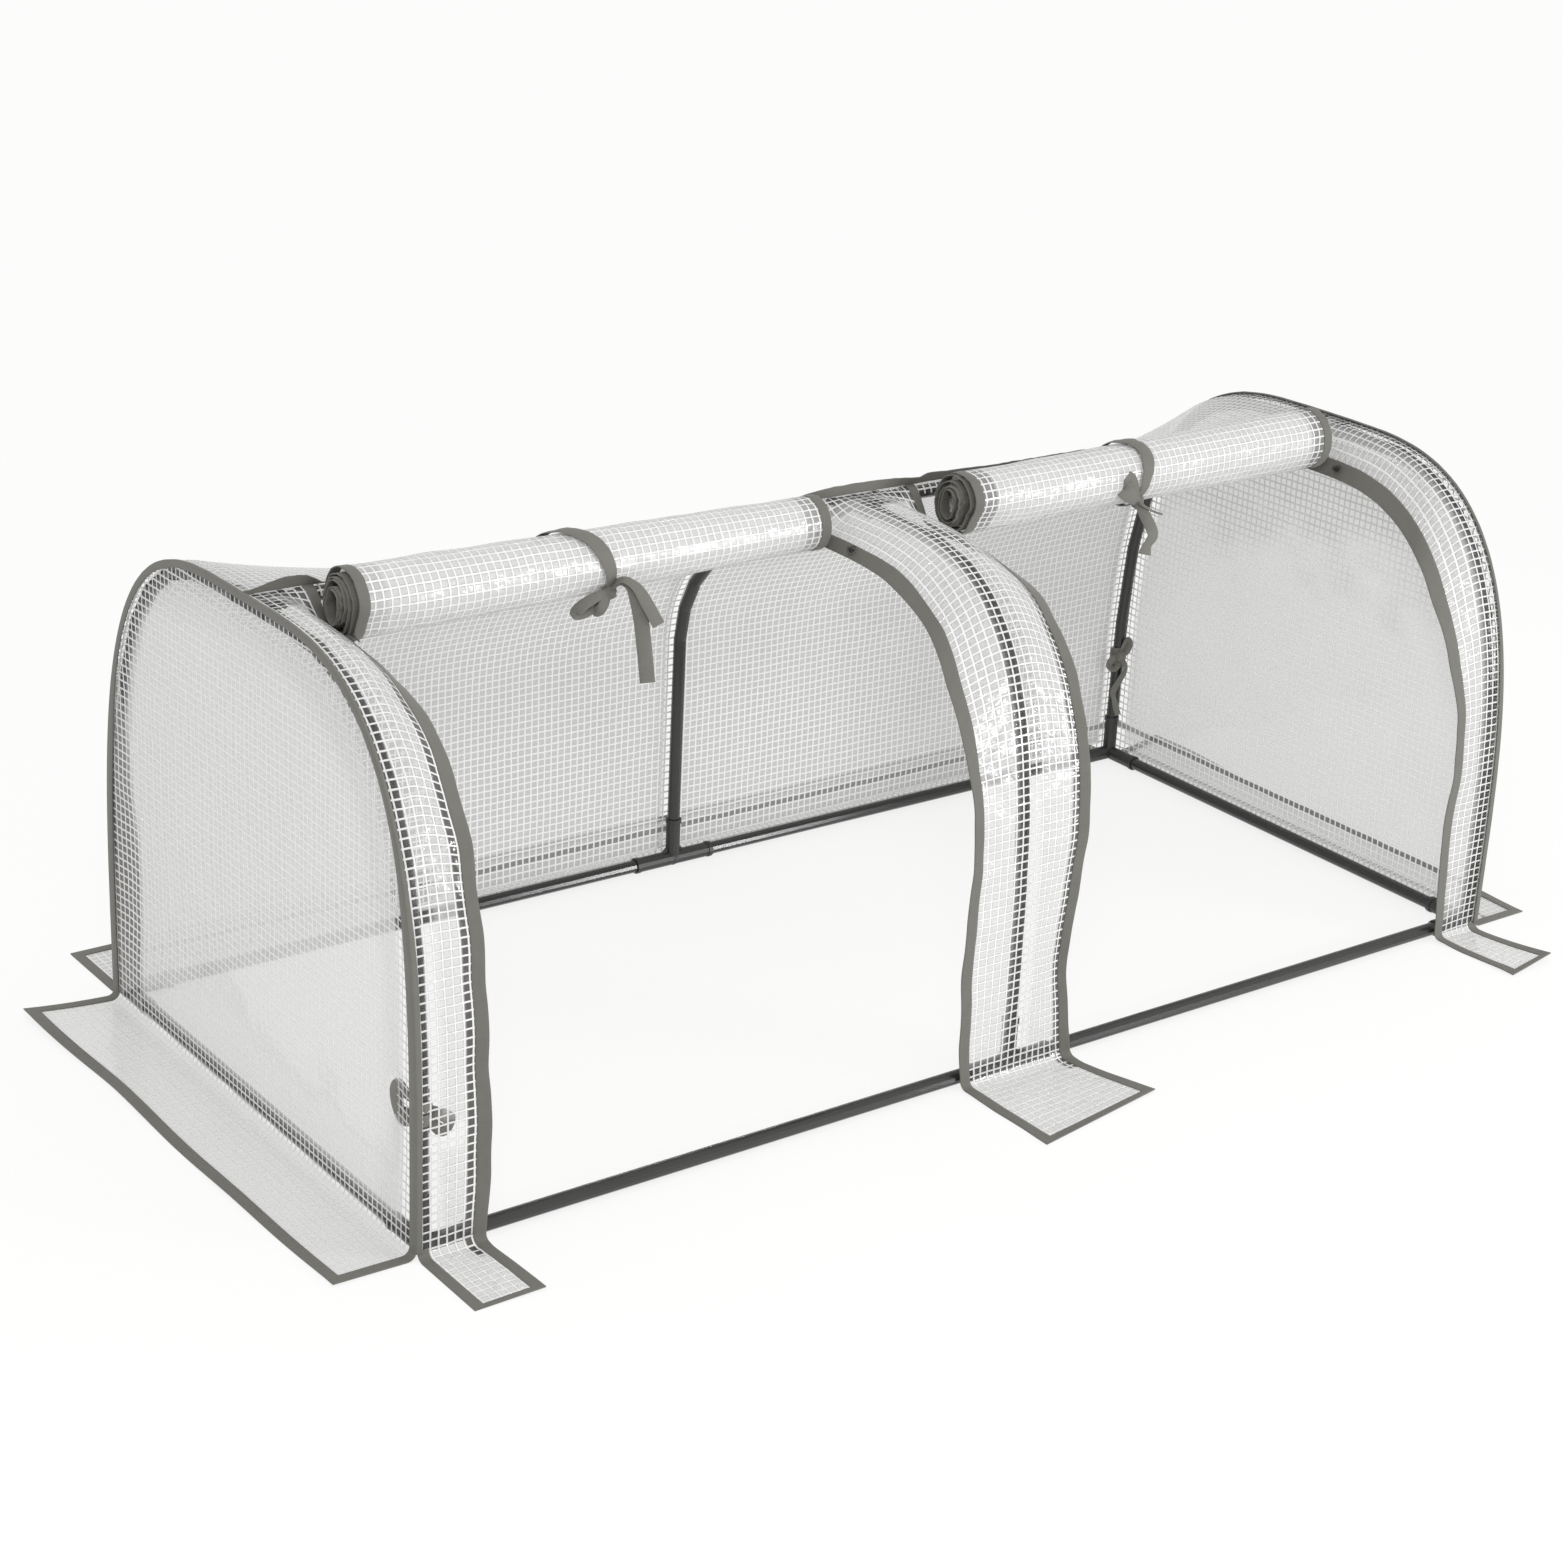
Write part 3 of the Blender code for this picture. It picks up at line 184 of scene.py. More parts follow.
def distances(line):
    """How far each point of a line lies from its start, along the line."""
    steps = np.linalg.norm(np.diff(line, axis=0), axis=1)
    return np.concatenate([[0.0], np.cumsum(steps)])


def joined(*parts):
    """Points from an array, or one number, for each of their values."""
    return np.stack(np.broadcast_arrays(*parts), axis=-1)


def map_of(across, along):
    """Map of a sheet in metres, from its stations across and its rows along."""
    return joined(across[None, :], along[:, None])


def unit(vectors):
    return vectors / np.maximum(np.linalg.norm(vectors, axis=-1, keepdims=True), 1e-9)


def normals_of(points):
    """Unit normals of a grid of points."""
    return unit(np.cross(np.gradient(points, axis=1), np.gradient(points, axis=0)))


def tube_lines():
    """Centre lines of the frame tubes, and of two loops of the front leg tie, that the film can touch."""
    base = COLLAR_RADIUS
    foot = [[HALF_WIDTH, base]]
    end = np.vstack([arch(END_FULLNESS), foot])
    tie_x, tie_y, tie_z = -HALF_LENGTH, -HALF_WIDTH, LEG_TIE_HEIGHT
    lines = [
        [(0.0, -across, height) for across, height in np.vstack([arch(MIDDLE_FULLNESS), foot])],
        [(0.0, across, height) for across, height in np.vstack([rafter(), foot])],
        [(-HALF_LENGTH, 0.0, RIDGE_HEIGHT), (HALF_LENGTH, 0.0, RIDGE_HEIGHT)],
        [(tie_x, tie_y + 0.024, tie_z), (tie_x, tie_y + 0.032, tie_z + 0.005)],
        [(tie_x + 0.022, tie_y, tie_z - 0.026), (tie_x + 0.036, tie_y, tie_z - 0.030)],
    ]
    for y in (-HALF_WIDTH, HALF_WIDTH):
        lines.append([(-HALF_LENGTH, y, base), (HALF_LENGTH, y, base)])
        for x in (-HALF_LENGTH, HALF_LENGTH):
            lines.append([(x, math.copysign(across, y), height) for across, height in end])
            lines.append([(x, 0.0, base), (x, y, base)])
    return [np.array(line) for line in lines]


def touch_of(points, far=0.030):
    """1 where the film lies on a tube, falling to 0 a few centimetres away."""
    flat = points.reshape(-1, 3)
    least = np.full(len(flat), np.inf)
    for line in tube_lines():
        for start, end in zip(line[:-1], line[1:]):
            run = end - start
            share = np.clip((flat - start) @ run / (run @ run), 0.0, 1.0)
            near = start + share[:, None] * run
            least = np.minimum(least, np.linalg.norm(flat - near, axis=1))
    return (1 - smooth_step((least - TOUCH_NEAR) / (far - TOUCH_NEAR))).reshape(points.shape[:-1])


def add_object(name, data):
    obj = bpy.data.objects.new(name, data)
    bpy.context.scene.collection.objects.link(obj)
    return obj


def grid_mesh(name, points, uv, touch=None, zip_tape_and_shade=None):
    """A smooth sheet through a grid of points, with its own map in metres."""
    rows, columns = points.shape[:2]
    mesh = bpy.data.meshes.new(name)
    index = np.arange(rows * columns).reshape(rows, columns)
    faces = np.stack([index[:-1, :-1], index[:-1, 1:], index[1:, 1:], index[1:, :-1]], axis=-1).reshape(-1, 4)
    mesh.from_pydata(points.reshape(-1, 3).tolist(), [], faces.tolist())
    layer = mesh.uv_layers.new(name="cloth")
    corner = np.stack([uv[:-1, :-1], uv[:-1, 1:], uv[1:, 1:], uv[1:, :-1]], axis=2)
    layer.data.foreach_set("uv", corner.reshape(-1).astype(np.float32))
    resting = None if touch is None else smooth_step((RESTING_BELOW - points[..., 2]) / RESTING_FADE)
    for label, values in (("touch", touch), ("zip_tape_and_shade", zip_tape_and_shade), ("resting", resting)):
        if values is not None:
            attribute = mesh.attributes.new(label, "FLOAT", "POINT")
            attribute.data.foreach_set("value", values.reshape(-1).astype(np.float32))
    mesh.shade_smooth()
    mesh.update()
    return add_object(name, mesh)


def thicken(obj, thickness, edge=0.0005):
    """Gives a sheet its thickness and soft edges."""
    solid = obj.modifiers.new("Thickness", "SOLIDIFY")
    solid.thickness = thickness
    solid.offset = 0.0
    bevel = obj.modifiers.new("Edges", "BEVEL")
    bevel.width = edge
    bevel.segments = 2
    bevel.limit_method = "ANGLE"


def paint(obj, material):
    obj.data.materials.clear()
    obj.data.materials.append(material)


def dress(obj, material, body, slot, *nodes):
    """Gives a piece its material and its body, and hides the nodes that it stands for; the slot is not used.
    """
    paint(obj, material)
    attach(obj, body)
    if nodes:
        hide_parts(*nodes)


# Section lines: each row holds (distance from the middle, height)

def arch(fullness):
    turn = np.linspace(0.0, math.pi / 2, 160)
    across = CROWN_RUN + (HALF_WIDTH - CROWN_RUN) * np.sin(turn) ** (2 / fullness)
    rise = (RIDGE_HEIGHT - SPRING_HEIGHT) * np.cos(turn) ** (2 / fullness)
    return joined(across, SPRING_HEIGHT + rise)


def rafter():
    """The middle hoop's back half: a slope, one bend, a leg."""
    share = np.linspace(0.0, 1.0, 160)[:, None]
    down = np.array([[1.0, -RAFTER_SLOPE]]) / math.hypot(1.0, RAFTER_SLOPE)
    crown = np.array([[0.0, RIDGE_HEIGHT]]) + CROWN_RUN * down
    slope = np.array([[RAFTER_BEND_REACH, RIDGE_HEIGHT - RAFTER_SLOPE * RAFTER_BEND_REACH]])
    bend = np.array([[HALF_WIDTH, RAFTER_BEND_HEIGHT]])
    spring = np.array([[HALF_WIDTH, RAFTER_SPRING]])
    rest = 1 - share
    curve = rest**3 * crown + 3 * rest**2 * share * slope
    curve = curve + 3 * rest * share**2 * bend + share**3 * spring
    return np.vstack([curve, [[HALF_WIDTH, SPRING_HEIGHT]]])


def offset_line(line, distance):
    run = np.gradient(line, axis=0)
    run = run / np.hypot(*run.T)[:, None]
    return line + distance * joined(-run[:, 1], run[:, 0])


def spaced(line, count):
    """The line in so many equal steps."""
    reached = distances(line)
    at = np.linspace(0.0, reached[-1], count + 1)
    return joined(*(np.interp(at, reached, line[:, axis]) for axis in (0, 1)))


def root_height(out):
    """Height of the film where it turns from a wall onto the ground."""
    share = 1 - np.clip(out / ROOT_RADIUS, 0.0, 1.0)
    return ROOT_HEIGHT - (ROOT_HEIGHT - GROUND) * np.sqrt(1 - share**2)


def root_turn(steps):
    """Distances out and heights in equal steps round that turn."""
    out = ROOT_RADIUS * (1 - np.cos(np.linspace(0.0, math.pi / 2, steps + 1)))
    return out, root_height(out)


def film_section(centre_line, flap_width):
    """Film section from the ridge seam to the flap's tip: arch, leg, root and flap."""
    skin = offset_line(centre_line, FILM_MIDDLE)
    run = centre_line[0] - (0.0, RIDGE_HEIGHT)
    run = run / np.hypot(*run)
    crown = [max(-run[1] * FILM_MIDDLE, RIDGE_TURN), RIDGE_HEIGHT + run[0] * FILM_MIDDLE]
    upper = spaced(np.vstack([[[SEAM_HALF_GAP, SEAM_HEIGHT], crown], skin]), ARCH_STEPS)
    heights = np.linspace(SPRING_HEIGHT, ROOT_HEIGHT, 9)[1:-1]
    leg = joined(FLAT_START - ROOT_RADIUS, heights)
    out, height = root_turn(ROOT_STEPS)
    root = joined(FLAT_START - ROOT_RADIUS + out, height)
    across = np.linspace(FLAT_START, FLAT_START + flap_width, FLAP_STEPS + 1)[1:]
    return np.vstack([upper, leg, root, joined(across, GROUND)])


# Materials

def node(tree, kind, *links, **values):
    """A new shader node with its own settings and inputs."""
    made = tree.nodes.new("ShaderNode" + kind)
    for name, value in values.items():
        setattr(made, name, value)
    feed(tree, made, *links)
    return made


def feed(tree, made, *links):
    """Fills inputs of a node; links are (input name or number, socket or value)."""
    for key, value in links:
        if isinstance(value, bpy.types.NodeSocket):
            tree.links.new(value, made.inputs[key])
        else:
            made.inputs[key].default_value = value


def maths(tree, operation, *values):
    return node(tree, "Math", *enumerate(values), operation=operation).outputs[0]


def weighted(tree, *terms):
    """Sum of values, each times its weight."""
    parts = [maths(tree, "MULTIPLY", value, weight) for value, weight in terms]
    total = parts[0]
    for part in parts[1:]:
        total = maths(tree, "ADD", total, part)
    return total


def varied(tree, value, cloud, amount):
    """The value, moved up and down by a cloud whose middle is a half."""
    return maths(tree, "ADD", value, maths(tree, "MULTIPLY", maths(tree, "SUBTRACT", cloud, 0.5), amount))


def tinted(shade, red, green, blue):
    return shade * red, shade * green, shade * blue, 1.0


def bumped(tree, height, distance, strength):
    return node(tree, "Bump", ("Height", height), ("Distance", distance), ("Strength", strength)).outputs[0]


def blend_colour(tree, share, first, second):
    return node(tree, "Mix", (0, share), (6, first), (7, second), data_type="RGBA").outputs[2]


def blend_value(tree, share, first, second):
    return node(tree, "Mix", (0, share), (2, first), (3, second), data_type="FLOAT").outputs[0]


def blend_shader(tree, share, first, second):
    return node(tree, "MixShader", (0, share), (1, first), (2, second)).outputs[0]


def noise_at(tree, place, scale, detail=2.0):
    return node(tree, "TexNoise", ("Vector", place), ("Scale", scale), ("Detail", detail)).outputs["Fac"]


def ramp(tree, value, low, high):
    return node(tree, "MapRange", ("Value", value), ("From Min", low), ("From Max", high),
                interpolation_type="SMOOTHSTEP").outputs[0]


def new_material(name):
    material = bpy.data.materials.new(name)
    material.use_nodes = True
    tree = material.node_tree
    shader = tree.nodes["Principled BSDF"]
    return material, tree, shader


def thread_mask(tree, place):
    """1 on the threads of the woven grid, 0 in the cells."""
    parts = node(tree, "SeparateXYZ", (0, place)).outputs
    masks = []
    for axis, scale in ((0, 14.0), (1, 21.3)):
        along = varied(tree, parts[axis], noise_at(tree, place, scale), THREAD_WANDER)
        folded = maths(tree, "PINGPONG", along, THREAD_PITCH / 2)
        masks.append(ramp(tree, folded, THREAD_WIDTH / 2 + THREAD_EDGE, THREAD_WIDTH / 2 - THREAD_EDGE))
    return maths(tree, "MAXIMUM", *masks)


def film_material(name, cell_alpha, cell_shade, thread_shade, lumps=0.30, weave=0.35, dark_row=None,
                  threads_shaded_above=None):
    """Milky film with a white thread grid: clear where it lies on a tube."""
    material, tree, shader = new_material(name)
    place = node(tree, "UVMap", uv_map="cloth").outputs[0]
    height = node(tree, "SeparateXYZ", (0, place)).outputs[1]
    thread = thread_mask(tree, place)
    touch, zip_tape_and_shade, resting = (node(tree, "Attribute", attribute_name=label).outputs["Fac"]
                                for label in ("touch", "zip_tape_and_shade", "resting"))
    if dark_row:
        above = maths(tree, "GREATER_THAN", height, dark_row)
        below = maths(tree, "LESS_THAN", height, dark_row + THREAD_PITCH)
        row = maths(tree, "MULTIPLY", maths(tree, "MULTIPLY", above, below), ROW_DARKNESS)
        zip_tape_and_shade = maths(tree, "MAXIMUM", zip_tape_and_shade, row)
    cloudy = noise_at(tree, place, 9.0)
    cell = varied(tree, blend_value(tree, touch, cell_alpha, CONTACT_ALPHA), cloudy, 0.10)
    cell = maths(tree, "MAXIMUM", blend_value(tree, resting, cell, RESTING_ALPHA), zip_tape_and_shade)
    alpha = blend_value(tree, thread, cell, THREAD_ALPHA)
    # Dark cells: tape behind the film, the dark row, and painted shade on the left end panel.
    dark = tinted(TAPE_AND_SHADE_TONE, 1.0, 0.97, 0.90)
    pane = blend_colour(tree, zip_tape_and_shade, tinted(cell_shade, 1.0, 0.997, 0.99), dark)
    white = tinted(thread_shade, 1.0, 1.0, 0.99)
    # Painted shade: above the given height the threads turn darker, as backlit threads look against the
    # bright film.
    if threads_shaded_above:
        shaded = ramp(tree, varied(tree, height, cloudy, 0.35), threads_shaded_above, threads_shaded_above + 0.16)
        white = blend_colour(tree, shaded, white, tinted(SHADED_THREAD, 1.0, 1.0, 0.98))
    colour = blend_colour(tree, thread, pane, white)
    crease = noise_at(tree, place, 75.0)
    swell = noise_at(tree, place, 19.0)
    relief = weighted(tree, (thread, weave), (crease, lumps), (swell, 2.5 * lumps))
    normal = bumped(tree, relief, 0.0012, 0.9)
    feed(tree, shader, ("Base Color", colour), ("Normal", normal), ("Coat Normal", normal),
         ("Roughness", 0.32), ("Specular IOR Level", 0.5), ("Coat Weight", 1.0), ("Coat Roughness", 0.08))
    through = node(tree, "BsdfTranslucent", ("Color", colour), ("Normal", normal)).outputs[0]
    body = blend_shader(tree, THROUGH_LIGHT, shader.outputs[0], through)
    clear = node(tree, "BsdfTransparent", ("Color", WHITE)).outputs[0]
    skin = blend_shader(tree, alpha, clear, body)
    feed(tree, tree.nodes["Material Output"], ("Surface", skin))
    return material


def webbing_material(name, shade, rib=0.0011):
    """Woven polyester tape: ribs across, slight mottling, warm grey."""
    material, tree, shader = new_material(name)
    place = node(tree, "UVMap", uv_map="cloth").outputs[0]
    along = node(tree, "SeparateXYZ", (0, place)).outputs[1]
    ribs = maths(tree, "DIVIDE", maths(tree, "PINGPONG", along, rib), rib)
    mottled = noise_at(tree, place, 60.0, 3.0)
    slow = noise_at(tree, place, 7.0)
    share = varied(tree, weighted(tree, (mottled, 0.55), (slow, 0.45)), ribs, 0.12)
    colour = blend_colour(tree, share, tinted(shade, 0.82, 0.79, 0.68), tinted(shade, 1.16, 1.12, 0.99))
    normal = bumped(tree, weighted(tree, (ribs, 1.0), (mottled, 0.8)), 0.0003, 0.7)
    feed(tree, shader, ("Base Color", colour), ("Normal", normal), ("Roughness", 0.78),
         ("Sheen Weight", 0.12))
    return material


def coated_material(name, shade, roughness, grain, metallic=0.0, dents=0.5):
    """Powder-coated steel or moulded plastic: fine grain and faint unevenness."""
    material, tree, shader = new_material(name)
    place = node(tree, "TexCoord").outputs["Object"]
    fine = noise_at(tree, place, grain)
    slow = noise_at(tree, place, 11.0, 3.0)
    colour = blend_colour(tree, slow, tinted(shade, 0.8, 0.8, 0.77), tinted(shade, 1.25, 1.25, 1.18))
    rough = maths(tree, "ADD", maths(tree, "MULTIPLY", fine, 0.12), roughness)
    normal = bumped(tree, fine, 0.0002, dents)
    feed(tree, shader, ("Base Color", colour), ("Normal", normal), ("Roughness", rough),
         ("Metallic", metallic))
    return material


# Film pieces

TOUCH_NEAR = 0.0175
ROOF_TOUCH = 0.0215
PANEL_TOUCH = 0.034
RESTING_BELOW = 0.0105
RESTING_FADE = 0.006
FLAP_CORNER_START = 0.14
FLAP_CORNER_REACH = 0.020


@dataclass
class FreeSide:
    """The side of a strip beside a door: it hangs loose between crown and foot."""

    hoop_x: float
    edge_x: float
    depth: float
    shoulder: float
    shin: float

    def __post_init__(self):
        self.side = math.copysign(1, self.edge_x - self.hoop_x)
        self.span = abs(self.edge_x - self.hoop_x) - DROOP_CLEAR

    def share(self, x):
        return np.maximum(((x - self.hoop_x) * self.side - DROOP_CLEAR) / self.span, 0.0)

    def droop(self, x, distance):
        fall = smooth_step(distance / DROOP_FALL)
        release = 1 - fade(distance, DROOP_HOLD, DROOP_END - DROOP_HOLD)
        return self.depth * self.share(x) ** DROOP_CURVE * fall * release

    def sway(self, x, distance):
        lean = self.shoulder * bump_at(distance, SHOULDER_AT, SHOULDER_SPREAD)
        lean = lean + self.shin * bump_at(distance, SHIN_AT, SHIN_SPREAD)
        return lean * self.share(x)


@dataclass
class Strip:
    """A front strip between two door openings or beside one."""

    label: str
    left: float
    right: float
    fullness: float
    foot_width: float
    sides: list
    zips: list
    corners: list
    seed: float

    def __post_init__(self):
        self.curl = 0.0 if self.label == "right" else EDGE_CURL
        self.line = film_section(arch(self.fullness), self.foot_width)
        self.distance = distances(self.line)
        self.foot_start = self.distance[GROUND_ROW]
        self.hold_end = self.distance[GROUND_ROW + 3]

    def surface(self, xs):
        """Points of the strip at these stations along the ridge, for every row."""
        x, distance = np.broadcast_arrays(np.array(xs)[None, :], self.distance[:, None])
        sag = sum(side.droop(x, distance) for side in self.sides)
        lean = sum(side.sway(x, distance) for side in self.sides)
        points = joined(x + lean, -self.line[:, :1], self.line[:, 1:] - sag)
        return self.flare(self.loosen(points, x, distance), x, distance)

    def flare(self, points, x, distance):
        """Pulls the two outer corners of the foot: along the ridge, outward and up."""
        foot = self.distance[-1] - self.foot_start
        down = np.clip((distance - self.foot_start) / foot, 0.0, 1.0)[..., None] ** 1.5
        across = ((x - self.left) / (self.right - self.left))[..., None]
        left, right = (np.array(corner) for corner in self.corners)
        return points + down * mix(left, right, across)

    def loosen(self, points, x, distance):
        """Wavy free edges and soft dents, none where the film lies on a tube."""
        free = np.clip(sum(side.share(x) for side in self.sides), 0.0, 1.0)
        room = fade(distance, 0.06, 0.12)
        normal = normals_of(points)
        wave = 0.0045 * ripple(points, 0.085, self.seed) + 0.0016 * ripple(points, 0.035, self.seed + 5)
        moved = points + normal * (wave * free * room)[..., None]
        flutter = 0.0030 * ripple(points * (0.2, 1, 1), 0.075, self.seed + 9) * free**2 * room
        moved[..., 0] += flutter
        outward = np.sign((normal * points * (0.0, 1.0, 1.0)).sum(axis=-1))
        hem = np.clip((x - self.right) / TAPE_WIDTH + 1, 0.0, 1.0)
        held = fade(distance, 0.17, 0.10) * fade(self.hold_end - distance, 0.0, 0.05)
        moved = moved + normal * (self.curl * hem * outward * held)[..., None]
        buried = (distance > self.foot_start) & (moved[..., 2] < GROUND)
        moved[..., 2] = np.where(buried, GROUND, moved[..., 2])
        return moved

    def zip_tape_and_shade(self, xs):
        """1 where the dark zip tape lies behind the film, just inside the binding."""
        share = np.zeros(len(xs))
        for edge, inward in self.zips:
            inside = (xs - edge) * inward - TAPE_WIDTH
            share = np.maximum(share, 1 - fade(inside, ZIP_REACH - 0.001, 0.001))
        return share

    def build(self, material):
        count = max(round((self.right - self.left) / 0.005), 8)
        xs = np.linspace(self.left, self.right, count + 1)
        points = self.surface(xs)
        zip_tape_and_shade = self.zip_tape_and_shade(xs) * (self.distance < self.hold_end)[:, None]
        uv = map_of(xs, self.distance)
        obj = grid_mesh(f"film_strip_{self.label}", points, uv, touch_of(points), zip_tape_and_shade)
        dress(obj, material, ROOT, "film", f"front_strip_{self.label}")


def tape_along(name, outer, inner, material, node_name, film_name, fold=None):
    """A tape over a film's edge: outer and inner are its long edges, fold the line where it turns."""
    middle = (outer + inner) / 2 if fold is None else fold
    shares = np.linspace(0.0, 1.0, 5)
    first = np.minimum(shares * 2, 1.0)[None, :, None]
    second = np.maximum(shares * 2 - 1, 0.0)[None, :, None]
    points = outer[:, None] + (middle - outer)[:, None] * first + (inner - middle)[:, None] * second
    along = distances(outer)
    width = float(np.median(np.linalg.norm(middle - outer, axis=1) + np.linalg.norm(inner - middle, axis=1)))
    obj = grid_mesh(name, points, map_of(shares * width, along))
    thicken(obj, TAPE_THICKNESS)
    dress(obj, material, ROOT, "binding", node_name)


def pucker(points, amount, seed):
    """Small ripples that stitching leaves in a tape."""
    return points + amount * ripple(points, 0.012, seed)[..., None] * np.array([0.3, 0.5, 1.0])


def strip_binding(strip, material):
    """The binding down the free sides and across the foot, mitred at the corners."""
    xs = [strip.left, strip.left + TAPE_WIDTH, strip.right - TAPE_WIDTH, strip.right]
    surface = strip.surface(xs)
    hem = int(np.searchsorted(strip.distance, strip.distance[-1] - TAPE_WIDTH))
    start = ROOT_ROW if strip.label == "left" else 0
    stop = ROOT_ROW if strip.label == "right" else 0
    lines = []
    for left, right, corner in ((0, 3, -1), (1, 2, hem)):
        lines.append(np.vstack([surface[start:hem, left], surface[[corner], left], surface[[corner], right],
                                surface[stop:hem, right][::-1]]))
    tape_along(f"binding_strip_{strip.label}", *lines, material, f"strip_binding_{strip.label}",
               f"film_strip_{strip.label}")


def make_strips(film, tape):
    left_side = FreeSide(-HALF_LENGTH, LEFT_STRIP_EDGE, depth=0.046, shoulder=0.0, shin=0.004)
    middle_left = FreeSide(0.0, MIDDLE_STRIP_LEFT, depth=0.046, shoulder=-0.018, shin=-0.010)
    middle_right = FreeSide(0.0, MIDDLE_STRIP_RIGHT, depth=0.053, shoulder=-0.006, shin=-0.026)
    right_side = FreeSide(HALF_LENGTH, RIGHT_STRIP_EDGE, depth=0.060, shoulder=-0.030, shin=-0.014)
    strips = [
        Strip("left", -COVER_END, LEFT_STRIP_EDGE, END_FULLNESS, foot_width=0.1172,
              sides=[left_side], zips=[(LEFT_STRIP_EDGE, -1)],
              corners=[(0.0, 0.0, 0.0), (0.002, -0.002, 0.002)], seed=3.0),
        Strip("middle", MIDDLE_STRIP_LEFT, MIDDLE_STRIP_RIGHT, MIDDLE_FULLNESS, foot_width=0.1372,
              sides=[middle_left, middle_right], zips=[(MIDDLE_STRIP_RIGHT, -1)],
              corners=[(-0.002, -0.026, 0.0), (0.027, 0.010, 0.003)], seed=8.0),
        Strip("right", RIGHT_STRIP_EDGE, COVER_END, END_FULLNESS, foot_width=0.1272,
              sides=[right_side], zips=[],
              corners=[(0.006, -0.008, 0.0), (0.008, 0.0, 0.012)], seed=14.0),
    ]
    for strip in strips:
        strip.build(film)
        strip_binding(strip, tape)


def roof_points(xs):
    """Points of the roof and back wall, and how far each row lies from the seam."""
    end = film_section(arch(END_FULLNESS), BACK_FLAP_WIDTH)
    middle = film_section(rafter(), BACK_FLAP_WIDTH)
    run = distances(end)
    x = np.broadcast_to(xs, (len(end), len(xs)))
    end_share = np.minimum(np.abs(x) / (HALF_LENGTH - COLLAR_RADIUS), 1.0) ** ROOF_FALL
    across = mix(middle[:, :1], end[:, :1], end_share)
    height = mix(middle[:, 1:], end[:, 1:], end_share)
    share = np.clip(run / run[ROOT_ROW], 0.0, 1.0)[:, None]
    bay = np.abs(np.sin(math.pi * np.minimum(np.abs(x), HALF_LENGTH) / HALF_LENGTH))
    sag = ROOF_SAG * bay * np.sin(math.pi * np.minimum(share * 1.4, 1.0))
    points = joined(x, across - 0.5 * sag, height - sag)
    room = bay**0.5 * smooth_step(share / 0.1) * smooth_step((1 - share) / 0.08)
    wave = 0.004 * ripple(points, 0.21, 2.0) + 0.0015 * ripple(points, 0.07, 4.0)
    return points + normals_of(points) * (wave * room)[..., None], run


def make_roof(film, tape):
    xs = np.linspace(-COVER_END, COVER_END, 181)
    points, distance = roof_points(xs)
    uv = map_of(xs, distance[GROUND_ROW] - distance)
    obj = grid_mesh("film_roof", points, uv, touch_of(points, ROOF_TOUCH))
    dress(obj, film, ROOT, "film", "roof_sheet")
    flap_binding("back", COVER_END, FLAT_START, FLAT_START + BACK_FLAP_WIDTH, tape, "film_roof")


def flap_spot(side, out, across):
    """Where a point of an end flap lies: the far corner is drawn out and lifted."""
    corner = fade(across, FLAP_CORNER_START, HALF_WIDTH - FLAP_CORNER_START)
    share = np.clip((out - ROOT_RADIUS) / END_FLAP_WIDTH, 0.0, 1.0)
    bulge = 0.010 * np.sin(math.pi * np.clip((across + HALF_WIDTH) / (2 * HALF_WIDTH), 0.0, 1.0))
    reach = out + share * (bulge + (FLAP_CORNER_REACH if side < 0 else 0.004) * corner)
    lift = (0.006 if side < 0 else 0.010) * corner * share**2
    lift = lift + 0.0012 * share * (1 + np.sin(across * 23.0 + side))
    return side * (PANEL_X + reach), across + 0.006 * corner * share, lift


def flap_binding(label, half, root, tip, tape, film_name, side=0):
    """The tape round a flap; side is -1 or 1 at an end panel and 0 at the back."""
    lines = []
    for inset in (0.0, TAPE_WIDTH):
        down_side = joined(inset - half, np.append(root - ROOT_RADIUS * ROOT_SHARES, tip - inset))
        corners = np.vstack([down_side, down_side[::-1] * (-1, 1)])
        if not lines:
            counts = [max(round(math.dist(a, b) / 0.02), 1) for a, b in zip(corners[:-1], corners[1:])]
        line = [corners[0]]
        for start, end, count in zip(corners[:-1], corners[1:], counts):
            line += [start + (end - start) * number / count for number in range(1, count + 1)]
        along, out = np.array(line).T
        if side:
            x, y, lift = flap_spot(side, out - PANEL_X, along)
            height = root_height(out - PANEL_X) + lift
        else:
            x, y = along, out
            height = root_height(out - FLAT_START + ROOT_RADIUS)
        lines.append(joined(x, y, height + 0.0006))
    tape_along(f"binding_flap_{label}", *lines, tape, f"flap_binding_{label}", film_name)


def panel_rows():
    """Rows of an end panel, from the arch down the wall and out over the flap."""
    rim = offset_line(arch(END_FULLNESS), PANEL_RIM)
    half = np.vstack([[[0.0, rim[0, 1]]], spaced(rim, 46)])
    across, crest = np.vstack([half[::-1] * (-1, 1), half[1:]]).T
    wall = crest + (ROOT_HEIGHT - crest) * np.linspace(0.0, 1.0, 61)[:, None]
    out, down = (values[1:, None] for values in root_turn(5))
    flat = np.linspace(0.0, END_FLAP_WIDTH, 13)[1:, None]
    wide = np.ones((1, len(across)))
    reach = np.vstack([np.zeros_like(wall), out * wide, (ROOT_RADIUS + flat) * wide])
    z = np.vstack([wall, down * wide, np.full_like(flat, GROUND) * wide])
    run = np.vstack([wall, (ROOT_HEIGHT + out) * wide, (ROOT_HEIGHT + ROOT_RUN + flat) * wide])
    return reach, np.broadcast_to(across, z.shape), z, crest, run


